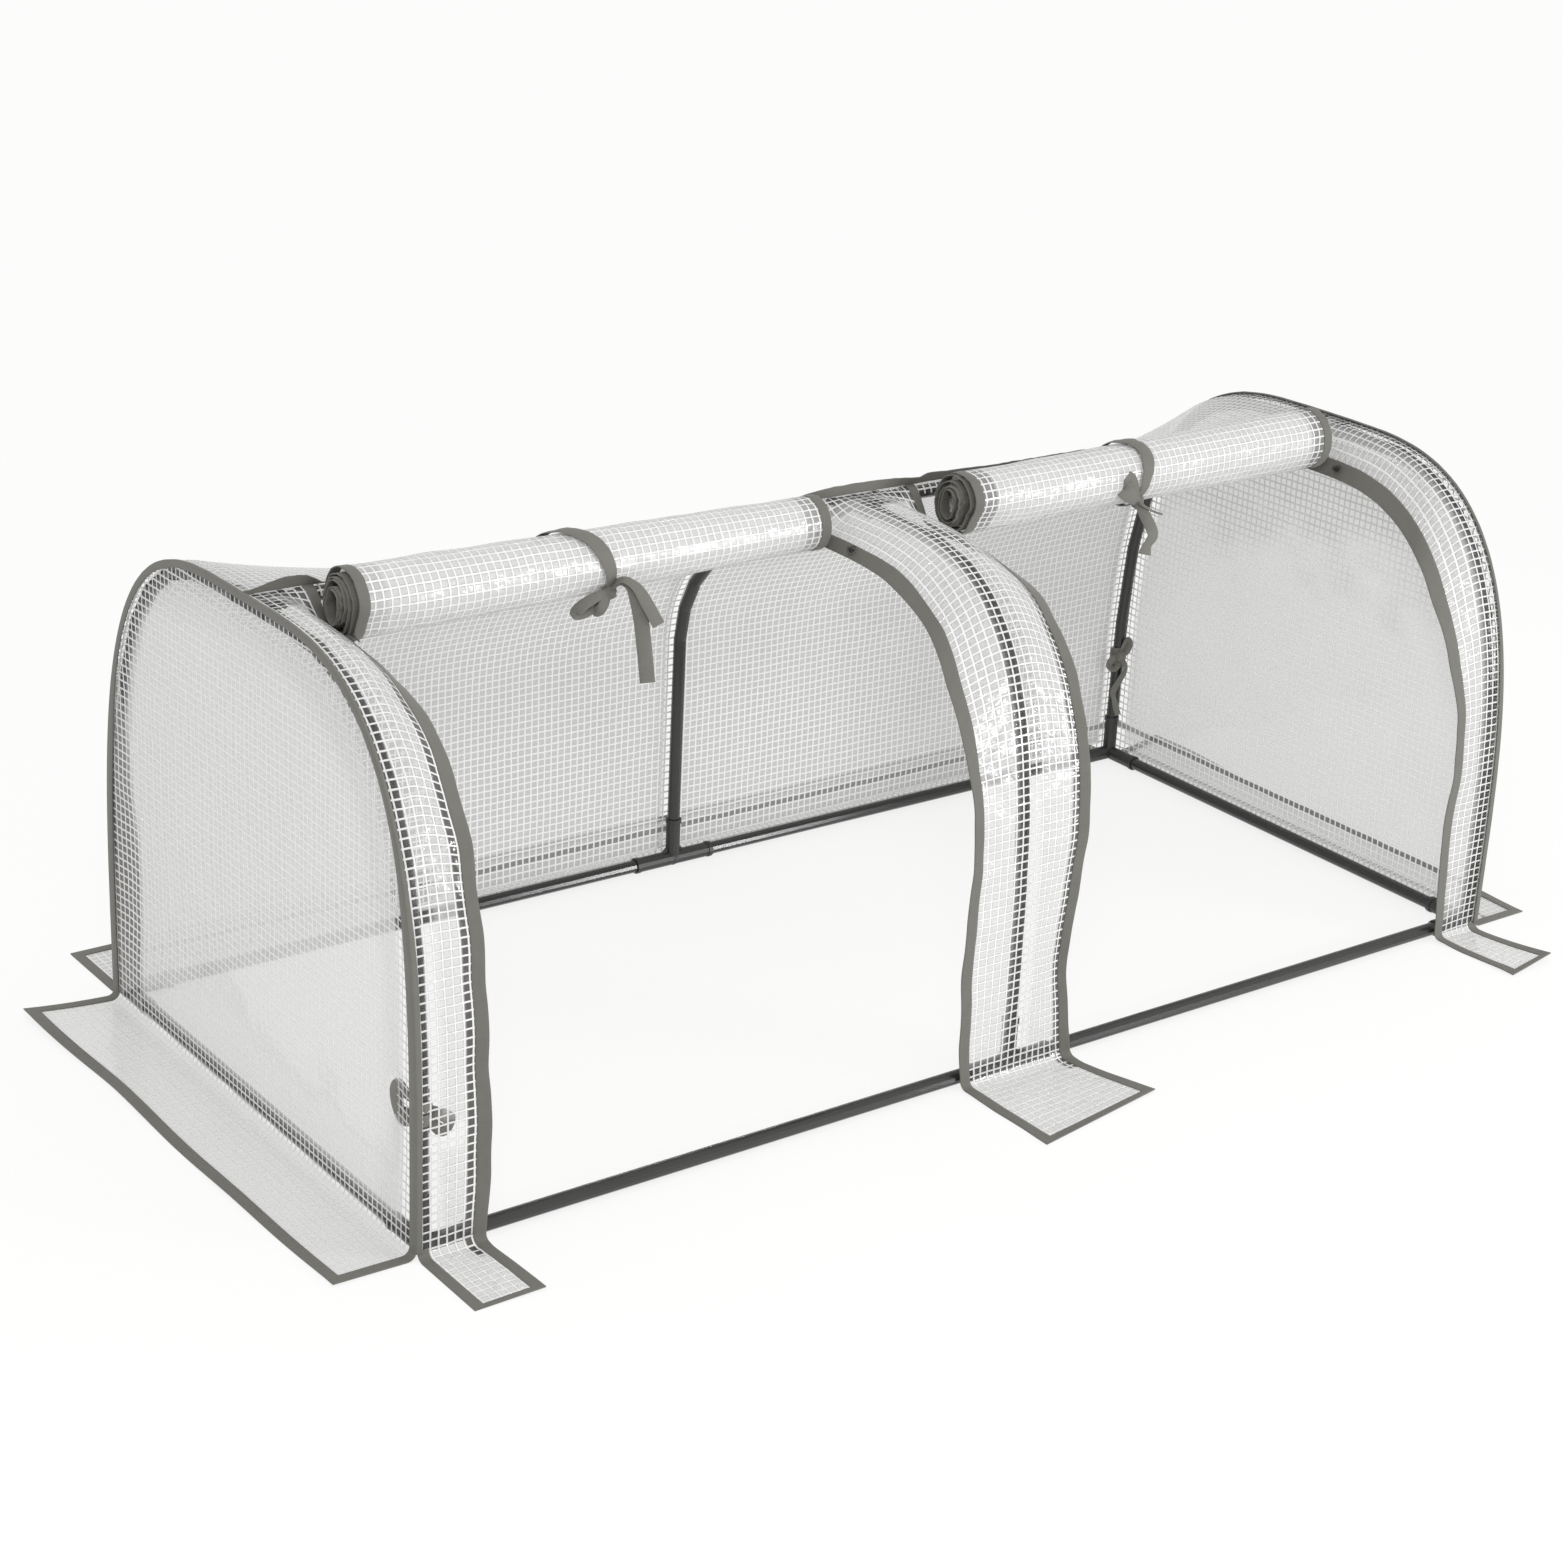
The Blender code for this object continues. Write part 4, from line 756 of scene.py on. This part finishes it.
def make_end_panels(film, tape):
    reach, y, z, crest, run = panel_rows()
    inside = fade(z, 0.03, 0.12)
    edge = fade(1 - np.abs(y) / (HALF_WIDTH + 0.013), 0.0, 0.16)
    top = fade(crest - z, 0.0, 0.10)
    # Painted shade: a dark band of cells beside the back edge of the left panel, wider towards the bottom,
    # standing for the back hoop's leg seen through the film and its shadow.
    tail = 1 - fade(z, 0.20, 0.35)
    band = mix(0.034, 0.078, tail)
    painted_leg_shade = fade(band + y, HALF_WIDTH, 0.012) * (z > 0.012) * mix(0.60, 1.0, tail)
    for label, side in (("left", -1), ("right", 1)):
        flap_x, flap_y, lift = flap_spot(side, reach, y)
        points = joined(flap_x, flap_y, z + lift)
        wave = 0.0035 * ripple(points, 0.16, 20.0 + side) + 0.0012 * ripple(points, 0.05, 24.0)
        points[..., 0] += side * (wave - 0.003) * inside * edge * top
        # Only the left panel carries the painted shade band, in its dark-cell attribute.
        behind = painted_leg_shade * (label == "left")
        obj = grid_mesh(f"film_end_{label}", points, joined(y, run), touch_of(points, PANEL_TOUCH), behind)
        dress(obj, film[label], ROOT, "film", f"end_panel_{label}")
        root = PANEL_X + ROOT_RADIUS
        tip = root + END_FLAP_WIDTH
        flap_binding(label, HALF_WIDTH + PANEL_RIM, root, tip, tape, f"film_end_{label}", side)
        make_end_seam(label, side, tape)


def make_end_seam(label, side, tape):
    """The tape over the arch seam of an end, folded round its corner."""
    line = np.vstack([[[0.0, RIDGE_HEIGHT]], spaced(arch(END_FULLNESS), 60),
                      [[HALF_WIDTH, 0.04], [HALF_WIDTH, 0.0095]]])
    narrow = fade(line[:, 1], 0.34, 0.20)
    panel = PANEL_X + 0.0012
    covers = (SEAM_CORNER - 0.0006, COVER_END - mix(0.0055, 0.0020, narrow))
    folds = (SEAM_CORNER, panel)
    hems = (mix(-0.0005, 0.0060, narrow)[:, None], panel)
    lines = []
    for reach, x in (covers, folds, hems):
        back = joined(side * x, *offset_line(line, reach).T)
        front = back[::-1] * (1, -1, 1)
        lines.append(pucker(np.vstack([front, back[1:]]), 0.0006, 31.0))
    outer, fold, inner = lines
    tape_along(f"binding_end_{label}", outer, inner, tape, f"end_seam_binding_{label}", f"film_end_{label}",
               fold)


def make_top_seam(tape):
    """The fin along the ridge: folded forward behind the rolls, upright where it shows."""
    xs = np.linspace(-COVER_END, COVER_END, 221)
    peeking = 0.50 * fade(xs, 0.10, 0.03) * fade(-xs, -0.46, 0.06)
    peeking = peeking + 0.45 * fade(xs, -0.54, 0.03) * fade(-xs, 0.38, 0.05)
    upright = np.clip(bump_at(xs, 0.0, 0.115) + fade(-xs, 0.80, 0.03) + peeking, 0.0, 1.0)
    lean = mix(1.30, -0.25, upright)
    tall = mix(0.0110, 0.0135, upright) * (0.35 + 0.65 * fade(COVER_END - np.abs(xs), 0.0, 0.06))
    foot = joined(xs, -0.0004, SEAM_HEIGHT + 0.0002)
    top = pucker(foot + joined(0.0, -tall * np.sin(lean), tall * np.cos(lean)), 0.0008, 41.0)
    tape_along("binding_ridge", top, foot, tape, "top_seam_binding", "film_roof")


# Rolled doors

RING_WIDTH = 0.0385
TURN_STEPS = 36
ROLL_DENT = 0.0100
DENT_ANGLE = math.radians(207)


@dataclass
class Roll:
    """A door wound into a roll in front of the ridge, dented where the zip pull can press on it."""

    label: str
    left: float
    right: float
    radii: tuple
    rises: tuple
    ring_shades: tuple
    telescope: float
    seed: float

    def __post_init__(self):
        self.body = f"{self.label}_door"

    def surface(self, xs, turned, lift=0.0):
        """Points of the winding at stations x and after so many turns."""
        x, turn = np.broadcast_arrays(np.asarray(xs, float)[None, :], np.asarray(turned, float)[:, None])
        station = (x - self.left) / (self.right - self.left)
        outer = mix(*self.radii, station)
        share = turn / ROLL_TURNS
        angle = -2 * math.pi * turn
        inner = ROLL_CORE * (1 + 0.28 * np.cos(2 * (angle - CORE_TILT)))
        radius = mix(outer, inner, share**0.85)
        spot = joined(x * 0.6, share * 3, np.sin(angle))
        ruck = joined(x, share * 9, np.cos(angle) * 0.4)
        loose = 0.0016 * ripple(spot, 0.35, self.seed) + 0.0012 * ripple(ruck, 0.06, self.seed + 3)
        slack = np.minimum(fade(share, 0.0, 0.18), fade(-share, -1.02, 0.15))
        wobble = 0.0022 * np.sin(angle * 0.73 + self.seed) * slack
        dent = ROLL_DENT * bump_at(x, self.left, 0.06) * np.clip(np.cos(angle - DENT_ANGLE), 0.0, 1.0)**6
        radius = radius + loose * (0.4 + slack) + wobble + lift - dent * (1 - share)**2
        middle_y = -ROLL_BACK - outer - 0.004 * slack * np.cos(2 * math.pi * share)
        middle_z = RIDGE_HEIGHT + mix(*self.rises, station) - 0.002 * slack
        return joined(x - self.telescope * share**0.8, middle_y + radius * np.cos(angle),
                      middle_z + radius * np.sin(angle))

    def length_run(self, turned):
        """How much film lies outside a place in the winding."""
        mean = mix(sum(self.radii) / 2, ROLL_CORE_RADIUS, turned / ROLL_TURNS / 2)
        return 2 * math.pi * mean * turned

    def build(self, film, tape):
        turned = np.linspace(LEAD_TURN, ROLL_TURNS, round(ROLL_TURNS * TURN_STEPS))
        xs = np.linspace(self.left + 0.002, self.right - 0.002, 121)
        points = np.concatenate([joined(xs, *HINGE)[None], self.surface(xs, turned)])
        run = np.concatenate([[-0.012], self.length_run(turned)])
        outer_turn = 1 - fade(np.concatenate([[0.0], turned]), 1.1, 0.2)[:, None]
        beside = [shade * (1 - fade(np.abs(xs - end), RING_WIDTH, 0.001))
                  for end, shade in zip((self.left, self.right), self.ring_shades)]
        rings = np.maximum(*beside) * outer_turn
        touch = np.zeros(points.shape[:-1])
        obj = grid_mesh(f"film_roll_{self.label}", points, map_of(xs, run), touch, rings)
        dress(obj, film, self.body, "film", f"door_roll_{self.label}")
        for end, start in (("left", self.left), ("right", self.right - TAPE_WIDTH)):
            self.edge(end, start, turned, tape)

    def edge(self, end, start, turned, tape):
        """The bound side edge of a door, wound with it."""
        across = np.linspace(start, start + TAPE_WIDTH, 4)
        points = self.surface(across, turned, 0.0002)
        uv = map_of(across - start, self.length_run(turned))
        obj = grid_mesh(f"binding_{self.label}_door_{end}", points, uv)
        thicken(obj, 0.0016, 0.0004)
        dress(obj, tape, self.body, "binding", f"door_{self.label}_edge_{end}")

    def head(self, film, start, stop):
        """The run of door film from the seam over the ridge tube."""
        angle = np.linspace(math.pi / 2 + 0.09, math.pi - 0.06, 9)
        across = np.concatenate([[-SEAM_HALF_GAP], FILM_MIDDLE * np.cos(angle)])
        height = np.concatenate([[SEAM_HEIGHT], RIDGE_HEIGHT + FILM_MIDDLE * np.sin(angle)])
        xs = np.linspace(start, stop, 81)
        run = distances(joined(across, height))
        points = joined(xs[None, :], across[:, None], height[:, None])
        obj = grid_mesh(f"film_head_{self.label}", points, map_of(xs, run), touch_of(points))
        dress(obj, film, ROOT, "film", f"door_head_{self.label}")


# Ribbons

TOWARD = -np.array(CAMERA_AHEAD)
VIEW_AXES = np.array([CAMERA_RIGHT, CAMERA_DOWN, TOWARD])


def smooth_path(controls, count=28):
    """A smooth path through every control point."""
    controls = np.asarray(controls, float)
    padded = np.vstack([2 * controls[0] - controls[1], controls, 2 * controls[-1] - controls[-2]])
    path = []
    for number in range(len(controls) - 1):
        a, b, c, d = padded[number:number + 4]
        for share in np.linspace(0.0, 1.0, count // (len(controls) - 1) + 2)[:-1]:
            path.append(0.5 * (2 * b + (c - a) * share + (2 * a - 5 * b + 4 * c - d) * share**2
                               + (3 * b - a - 3 * c + d) * share**3))
    path.append(controls[-1])
    return np.array(path)


def spread(values, count):
    """A few values spread evenly over a longer run."""
    return np.interp(np.linspace(0.0, 1.0, count), np.linspace(0.0, 1.0, len(values)), values)[:, None]


def ribbon(name, path, widths, material, body, twists=(0.0, 0.0), facing=TOWARD, node_name=None):
    """A flat ribbon along a path; its face looks at the photographer, turned by the twists."""
    run = unit(np.gradient(path, axis=0))
    width = spread(widths, len(path))
    twist = spread(twists, len(path))
    side = unit(np.cross(run, np.broadcast_to(facing, run.shape)))
    side = side * np.cos(twist) + np.cross(side, run) * np.sin(twist)
    camber = np.cross(side, run)
    columns = np.linspace(-0.5, 0.5, 7)
    points = path[:, None] + side[:, None] * (width * columns)[..., None]
    points = points + camber[:, None] * (0.0012 * (0.25 - columns**2) * 4)[None, :, None]
    along = distances(path)
    obj = grid_mesh(name, points, map_of(columns * RIBBON_WIDTH, along))
    thicken(obj, 0.0010, 0.0003)
    dress(obj, material, body, "ribbon", *([node_name] if node_name else []))


def make_strap(roll, knot_x, strap_x, material):
    """The ribbon from the back of a roll over its top and under it; returns the knot's place."""
    turned = np.linspace(STRAP_START_TURN, STRAP_END_TURN, 42)
    stations = mix(knot_x, strap_x, fade(turned, KNOT_TURN, 0.80 - KNOT_TURN))
    stations = stations - STRAP_SLANT * fade(turned, 0.60, 0.33)
    path = np.array([roll.surface([x], [turn], STRAP_LIFT)[0, 0] for turn, x in zip(turned, stations)])
    pinched = [0.021, 0.022, 0.021, 0.012, 0.012, 0.016]
    outward = (path - STRAP_CENTRE) * (0.0, 1.0, 1.0)
    ribbon(f"ribbon_{roll.label}_strap", path, pinched, material, roll.body,
           facing=outward, node_name=f"tie_{roll.label}")
    return roll.surface([knot_x], [KNOT_TURN], KNOT_LIFT)[0, 0]


# Bows and leg ties in millimetres: the points of each part, its widths, and its twists in radians
LEG_TIE_PARTS = {
    "leg_tie_back_right": (
        ("tail", [(4, 2, 15), (13, 22, 17), (6, 42, 15), (-3, 62, 13), (0, 80, 14), (8, 104, 13)],
         [9, 12, 10, 12, 11], [0.3, 0.9, 0.1, 0.8, 0.2]),
        ("loop", [(4, 0, 16), (13, -8, 19), (17, -22, 16), (12, -26, 13), (4, -6, 14)],
         [8, 11, 10, 8], [0.2, 0.6, 0.1]),
        ("fold", [(4, 0, 16), (-10, 6, 18), (-14, 18, 15), (-4, 22, 14), (6, 8, 15)],
         [8, 12, 12, 8], [0.1, 0.5, 0.0]),
    ),
    "leg_tie_front_left": (
        ("tail", [(12, 10, -4), (16, 14, -24), (10, 16, -48), (14, 12, -72)],
         [9, 12, 11], [0.3, 0.6, 0.1]),
        ("loop", [(6, 11, 0), (-3, 20, 13), (-6.5, 34, 20), (-6.5, 44, 6), (-6, 36, -14), (-2, 20, -12),
                  (6, 12, -2)], [12, 22, 27, 24, 12], [0.0, 0.1, 0.0]),
        ("fold", [(11, 4, 2), (17, -4, 0), (26, -6.5, -6), (34, -6.5, -14), (28, -6, -26),
                  (18, -3, -20), (11, 4, -6)], [10, 14, 16, 15, 10], [0.0, 0.1, 0.0]),
    ),
}


# The knot and the ring of each leg tie
LEG_KNOTS = {
    "leg_tie_back_right": ((4, 0, 15), (14, -26, 11)),
    "leg_tie_front_left": ((11, 9, 0), (12, 12, 18)),
}


def from_millimetres(values):
    return np.array(values) / 1000


def make_knot(label, knot, material, body, tilt):
    """Two short turns of ribbon pulled tight round the crossing."""
    turn = np.linspace(0.0, 2 * math.pi * 0.97, 22)[:, None]
    for number, (size, lean) in enumerate(((0.0084, tilt), (0.0070, tilt + 1.35))):
        across = np.array([-math.sin(lean), math.cos(lean), 0.0]) @ VIEW_AXES
        outward = size * (np.cos(turn) * across + 0.85 * np.sin(turn) * TOWARD)
        ribbon(f"ribbon_{label}_knot_{number}", knot + outward, [0.011, 0.012, 0.011], material, body,
               facing=outward)


DOOR_TIE_PARTS = {
    "left": (
        ("loop_0", [(0, 0, 6), (-13, 6, 13), (-31, 17, 14), (-41, 27, 9), (-30, 25, 4), (-10, 11, 3),
                    (0, 1, 2)], [8, 14, 16, 15, 8], [0.2, 0.1, -0.2, 0.1]),
        ("loop_1", [(0, 0, 4), (-4, 10, 9), (-10, 22, 8), (-16, 24, 3), (-4, 6, 1)],
         [8, 13, 13, 8], [0.5, 0.2]),
        ("tail_0", [(2, -2, 6), (14, -12, 13), (29, -4, 13), (38, 28, 9), (43, 70, 6), (47, 113, 4)],
         [9, 14, 19, 19, 19], [1.1, 0.5, 0.1, 0.0, 0.05]),
        ("tail_1", [(2, -2, 8), (16, -13, 16), (34, -4, 17), (49, 20, 13), (61, 42, 10)],
         [9, 13, 17, 18], [1.2, 0.8, 0.4, 0.5]),
    ),
    "right": (
        ("loop_0", [(0, 0, 7), (-11, -6, 20), (-22, -16, 34), (-21, -27, 38), (-12, -22, 29),
                    (-3, -6, 12)], [12, 24, 28, 25, 12], [0.1, -0.1, 0.2]),
        ("tail_0", [(0, 2, 6), (6, 14, 10), (16, 34, 12), (20, 48, 11), (12, 62, 8), (9, 74, 6)],
         [9, 16, 19, 17, 19], [0.2, 0.0, 0.5, 0.8, 0.3]),
        ("tail_1", [(0, 0, 4), (4, 4, 9), (12, 9, 8), (22, 14, 5), (34, 18, 4)],
         [6, 10, 12, 10], [0.9, 1.2, 1.3]),
    ),
}


def make_door_tie(roll, knot_x, strap_x, tilt, material):
    """The strap round a roll with its bow: loops, tails and knot."""
    knot = make_strap(roll, knot_x, strap_x, material)
    for label, offsets, widths, twists in DOOR_TIE_PARTS[roll.label]:
        count = 40 if label.startswith("loop") else 30
        path = smooth_path(knot + from_millimetres(offsets) @ VIEW_AXES, count)
        ribbon(f"ribbon_{roll.label}_{label}", path, from_millimetres(widths), material, roll.body,
               twists)
    make_knot(roll.label, knot, material, roll.body, tilt)


def make_leg_ties(material, metal):
    """Ribbons wound and knotted round two hoop legs, with a ring and a hanging tail."""
    turn = np.linspace(0.0, 2 * math.pi * LEG_TIE_TURNS, 52)
    for name, parts in LEG_TIE_PARTS.items():
        left = name.endswith("left")
        side = -1 if left else 1
        axes = np.identity(3) if left else np.array([CAMERA_RIGHT, (0.0, 0.0, -1.0), TOWARD])
        leg = np.array([side * HALF_LENGTH, side * HALF_WIDTH, LEG_TIE_HEIGHT])
        climb = LEG_TIE_CLIMB * (turn / turn[-1] - 0.5) + 0.003 * np.sin(turn * 0.8)
        outward = joined(np.cos(turn), np.sin(turn), 0.0)
        around = leg + LEG_TIE_RADIUS * outward + joined(0.0, 0.0, climb)
        ribbon(f"ribbon_{name}", around, [0.013, 0.015, 0.013], material, ROOT,
               facing=outward, node_name=name)
        facings = {"loop": (-1.0, 0.0, 0.0), "fold": (0.0, -1.0, 0.0)} if left else {}
        for label, offsets, widths, twists in parts:
            path = smooth_path(leg + from_millimetres(offsets) @ axes, 32)
            ribbon(f"ribbon_{name}_{label}", path, from_millimetres(widths), material, ROOT,
                   twists, facings.get(label, TOWARD))
        knot, ring = leg + from_millimetres(LEG_KNOTS[name]) @ axes
        make_knot(name, knot, material, ROOT, 0.3)
        make_ring(f"ring_{name}", ring, metal)


def make_ring(name, centre, material):
    """A small wire ring that faces the photographer: a grid wrapped round both ways."""
    mesh = bpy.data.meshes.new(name)
    shape = bmesh.new()
    bmesh.ops.create_grid(shape, x_segments=24, y_segments=8, size=0.5)
    turn = Vector((0, 0, 1)).rotation_difference(Vector(TOWARD)).to_matrix()
    for vertex in shape.verts:
        around = 2 * math.pi * (vertex.co.x + 0.5)
        tube = 2 * math.pi * (vertex.co.y + 0.5)
        reach = TIE_RING_RADIUS + TIE_RING_WIRE * math.cos(tube)
        spot = (reach * math.cos(around), reach * math.sin(around), TIE_RING_WIRE * math.sin(tube))
        vertex.co = Vector(centre) + turn @ Vector(spot)
    bmesh.ops.remove_doubles(shape, verts=shape.verts, dist=1e-6)
    bmesh.ops.recalc_face_normals(shape, faces=shape.faces)
    shape.to_mesh(mesh)
    shape.free()
    mesh.shade_smooth()
    dress(add_object(name, mesh), material, ROOT, "ribbon")


# Stage

BACKDROP = (0.975, 0.975, 0.97, 1.0)
FLOOR_RADIUS = 14.0
FLOOR_LEVEL = -0.0003
FLOOR_CLEAR = 1.9
FLOOR_GONE = 3.4
FLOOR_GLOW = 0.80
GLOW_STRENGTH = 1.135
AIM = (0.0, -0.2, 0.5)


def make_camera():
    data = bpy.data.cameras.new("camera")
    data.lens = CAMERA_LENS
    data.sensor_width = 36.0
    data.clip_start = 0.05
    data.clip_end = 60.0
    camera = add_object("camera", data)
    right, up, back = Vector(CAMERA_RIGHT), -Vector(CAMERA_DOWN), -Vector(CAMERA_AHEAD)
    turn = Matrix((right, up, back)).transposed().to_4x4()
    camera.matrix_world = Matrix.Translation(CAMERA_PLACE) @ turn
    bpy.context.scene.camera = camera


def area_light(name, place, aim, size, power):
    data = bpy.data.lights.new(name, "AREA")
    data.shape = "RECTANGLE"
    data.size, data.size_y = size
    data.energy = power
    light = add_object(name, data)
    light.location = place
    light.rotation_euler = (Vector(aim) - Vector(place)).to_track_quat("-Z", "Y").to_euler()


def make_world():
    """White light from all round, behind a plain pale backdrop."""
    world = bpy.data.worlds.new("studio")
    bpy.context.scene.world = world
    world.use_nodes = True
    tree = world.node_tree
    sky = tree.nodes["Background"]
    feed(tree, sky, ("Color", WHITE), ("Strength", 1.0))
    plain = node(tree, "Background", ("Color", BACKDROP), ("Strength", 1.0)).outputs[0]
    seen = node(tree, "LightPath").outputs["Is Camera Ray"]
    either = blend_shader(tree, seen, sky.outputs[0], plain)
    feed(tree, tree.nodes["World Output"], ("Surface", either))


def floor_material():
    """Pale floor that glows a little and fades into the backdrop."""
    material, tree, shader = new_material("floor")
    place = node(tree, "TexCoord").outputs["Object"]
    cloudy = noise_at(tree, place, 0.8)
    colour = blend_colour(tree, cloudy, (0.86, 0.86, 0.855, 1.0), (0.88, 0.88, 0.875, 1.0))
    feed(tree, shader, ("Base Color", colour), ("Roughness", 0.9), ("Specular IOR Level", 0.1))
    away = node(tree, "VectorMath", (0, place), operation="LENGTH").outputs["Value"]
    seen = node(tree, "LightPath").outputs["Is Camera Ray"]
    gone = maths(tree, "MULTIPLY", ramp(tree, away, FLOOR_CLEAR, FLOOR_GONE), seen)
    clear = node(tree, "BsdfTransparent").outputs[0]
    glow = node(tree, "Emission", ("Color", colour), ("Strength", GLOW_STRENGTH)).outputs[0]
    lit = blend_shader(tree, FLOOR_GLOW, shader.outputs[0], glow)
    skin = blend_shader(tree, gone, lit, clear)
    feed(tree, tree.nodes["Material Output"], ("Surface", skin))
    return material


def make_floor():
    mesh = bpy.data.meshes.new("floor")
    shape = bmesh.new()
    bmesh.ops.create_circle(shape, cap_ends=True, segments=96, radius=FLOOR_RADIUS)
    shape.to_mesh(mesh)
    shape.free()
    mesh.materials.append(floor_material())
    floor = add_object("floor", mesh)
    floor.location.z = FLOOR_LEVEL


def make_stage():
    """Backdrop, floor and lamps; the low lamp draws the highlight along the base tubes."""
    bpy.context.scene.view_settings.view_transform = "Standard"
    bpy.context.scene.cycles.transparent_max_bounces = 32
    make_world()
    make_floor()
    area_light("key", (-2.3, -2.9, 2.9), (0.0, -0.2, 0.4), (0.80, 0.65), 52.0)
    area_light("front", (2.4, -3.5, 1.05), AIM, (1.10, 0.42), 52.0)
    area_light("floor_level", (2.4, -3.5, 0.32), AIM, (0.62, 0.26), 30.0)


# The parts of the frame that keep their own shapes

def paint_frame():
    """Dresses the frame's own pieces by their names; returns the metal for the small rings."""
    steel = coated_material("powder_coat", 0.022, 0.13, 900.0, dents=0.08)
    plastic = coated_material("moulded_plastic", 0.022, 0.38, 600.0)
    metal = coated_material("zip_metal", 0.10, 0.34, 700.0, 0.75)
    for name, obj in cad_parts.items():
        if name.startswith(("base_tube", "hoop", "ridge_tube")):
            paint(obj, steel)
        elif "connector" in name:
            paint(obj, plastic)
        elif name.startswith("zip_"):
            paint(obj, metal)
    return metal


ROOT = "greenhouse"
LEFT_ROLL = Roll("left", -0.806, -0.105, radii=(0.0490, 0.0385), rises=(0.008, 0.005),
                 ring_shades=(0.20, 0.45), telescope=0.018, seed=50.0)
RIGHT_ROLL = Roll("right", 0.1265, 0.797, radii=(0.0465, 0.0480), rises=(0.001, 0.010),
                  ring_shades=(0.75, 0.65), telescope=0.020, seed=60.0)
make_camera()
make_stage()
# The same cover film gets its own cell and thread shade on each surface, standing for how much light reaches
# it there: painted shade on the back wall, the right end panel and the end panels' threads, painted light on
# the rolls.
STRIP_FILM = film_material("strip_film", cell_alpha=0.60, cell_shade=0.58, thread_shade=0.82,
                           lumps=2.2, weave=1.6)
WALL_FILM = film_material("wall_film", cell_alpha=0.79, cell_shade=0.40, thread_shade=0.74,
                          dark_row=DARK_ROW)
END_FILMS = {
    "left": film_material("left_end_film", cell_alpha=0.76, cell_shade=0.61, thread_shade=0.70),
    "right": film_material("right_end_film", cell_alpha=0.60, cell_shade=0.46, thread_shade=0.70,
                           dark_row=DARK_ROW, threads_shaded_above=0.40),
}
ROLL_FILM = film_material("roll_film", cell_alpha=0.74, cell_shade=0.75, thread_shade=0.95,
                          lumps=1.9, weave=1.6)
TAPE = webbing_material("binding_tape", 0.118)
RIBBON = webbing_material("ribbon_tape", 0.130, 0.0014)
METAL = paint_frame()
make_roof(WALL_FILM, TAPE)
make_end_panels(END_FILMS, TAPE)
make_strips(STRIP_FILM, TAPE)
make_top_seam(TAPE)
for roll, start, stop in ((LEFT_ROLL, LEFT_STRIP_EDGE, MIDDLE_STRIP_LEFT),
                          (RIGHT_ROLL, MIDDLE_STRIP_RIGHT, RIGHT_STRIP_EDGE)):
    roll.build(ROLL_FILM, TAPE)
    roll.head(STRIP_FILM, start, stop)
make_door_tie(LEFT_ROLL, LEFT_KNOT_X, LEFT_STRAP_X, -0.5, RIBBON)
make_door_tie(RIGHT_ROLL, RIGHT_KNOT_X, RIGHT_STRAP_X, 0.4, RIBBON)
make_leg_ties(RIBBON, METAL)
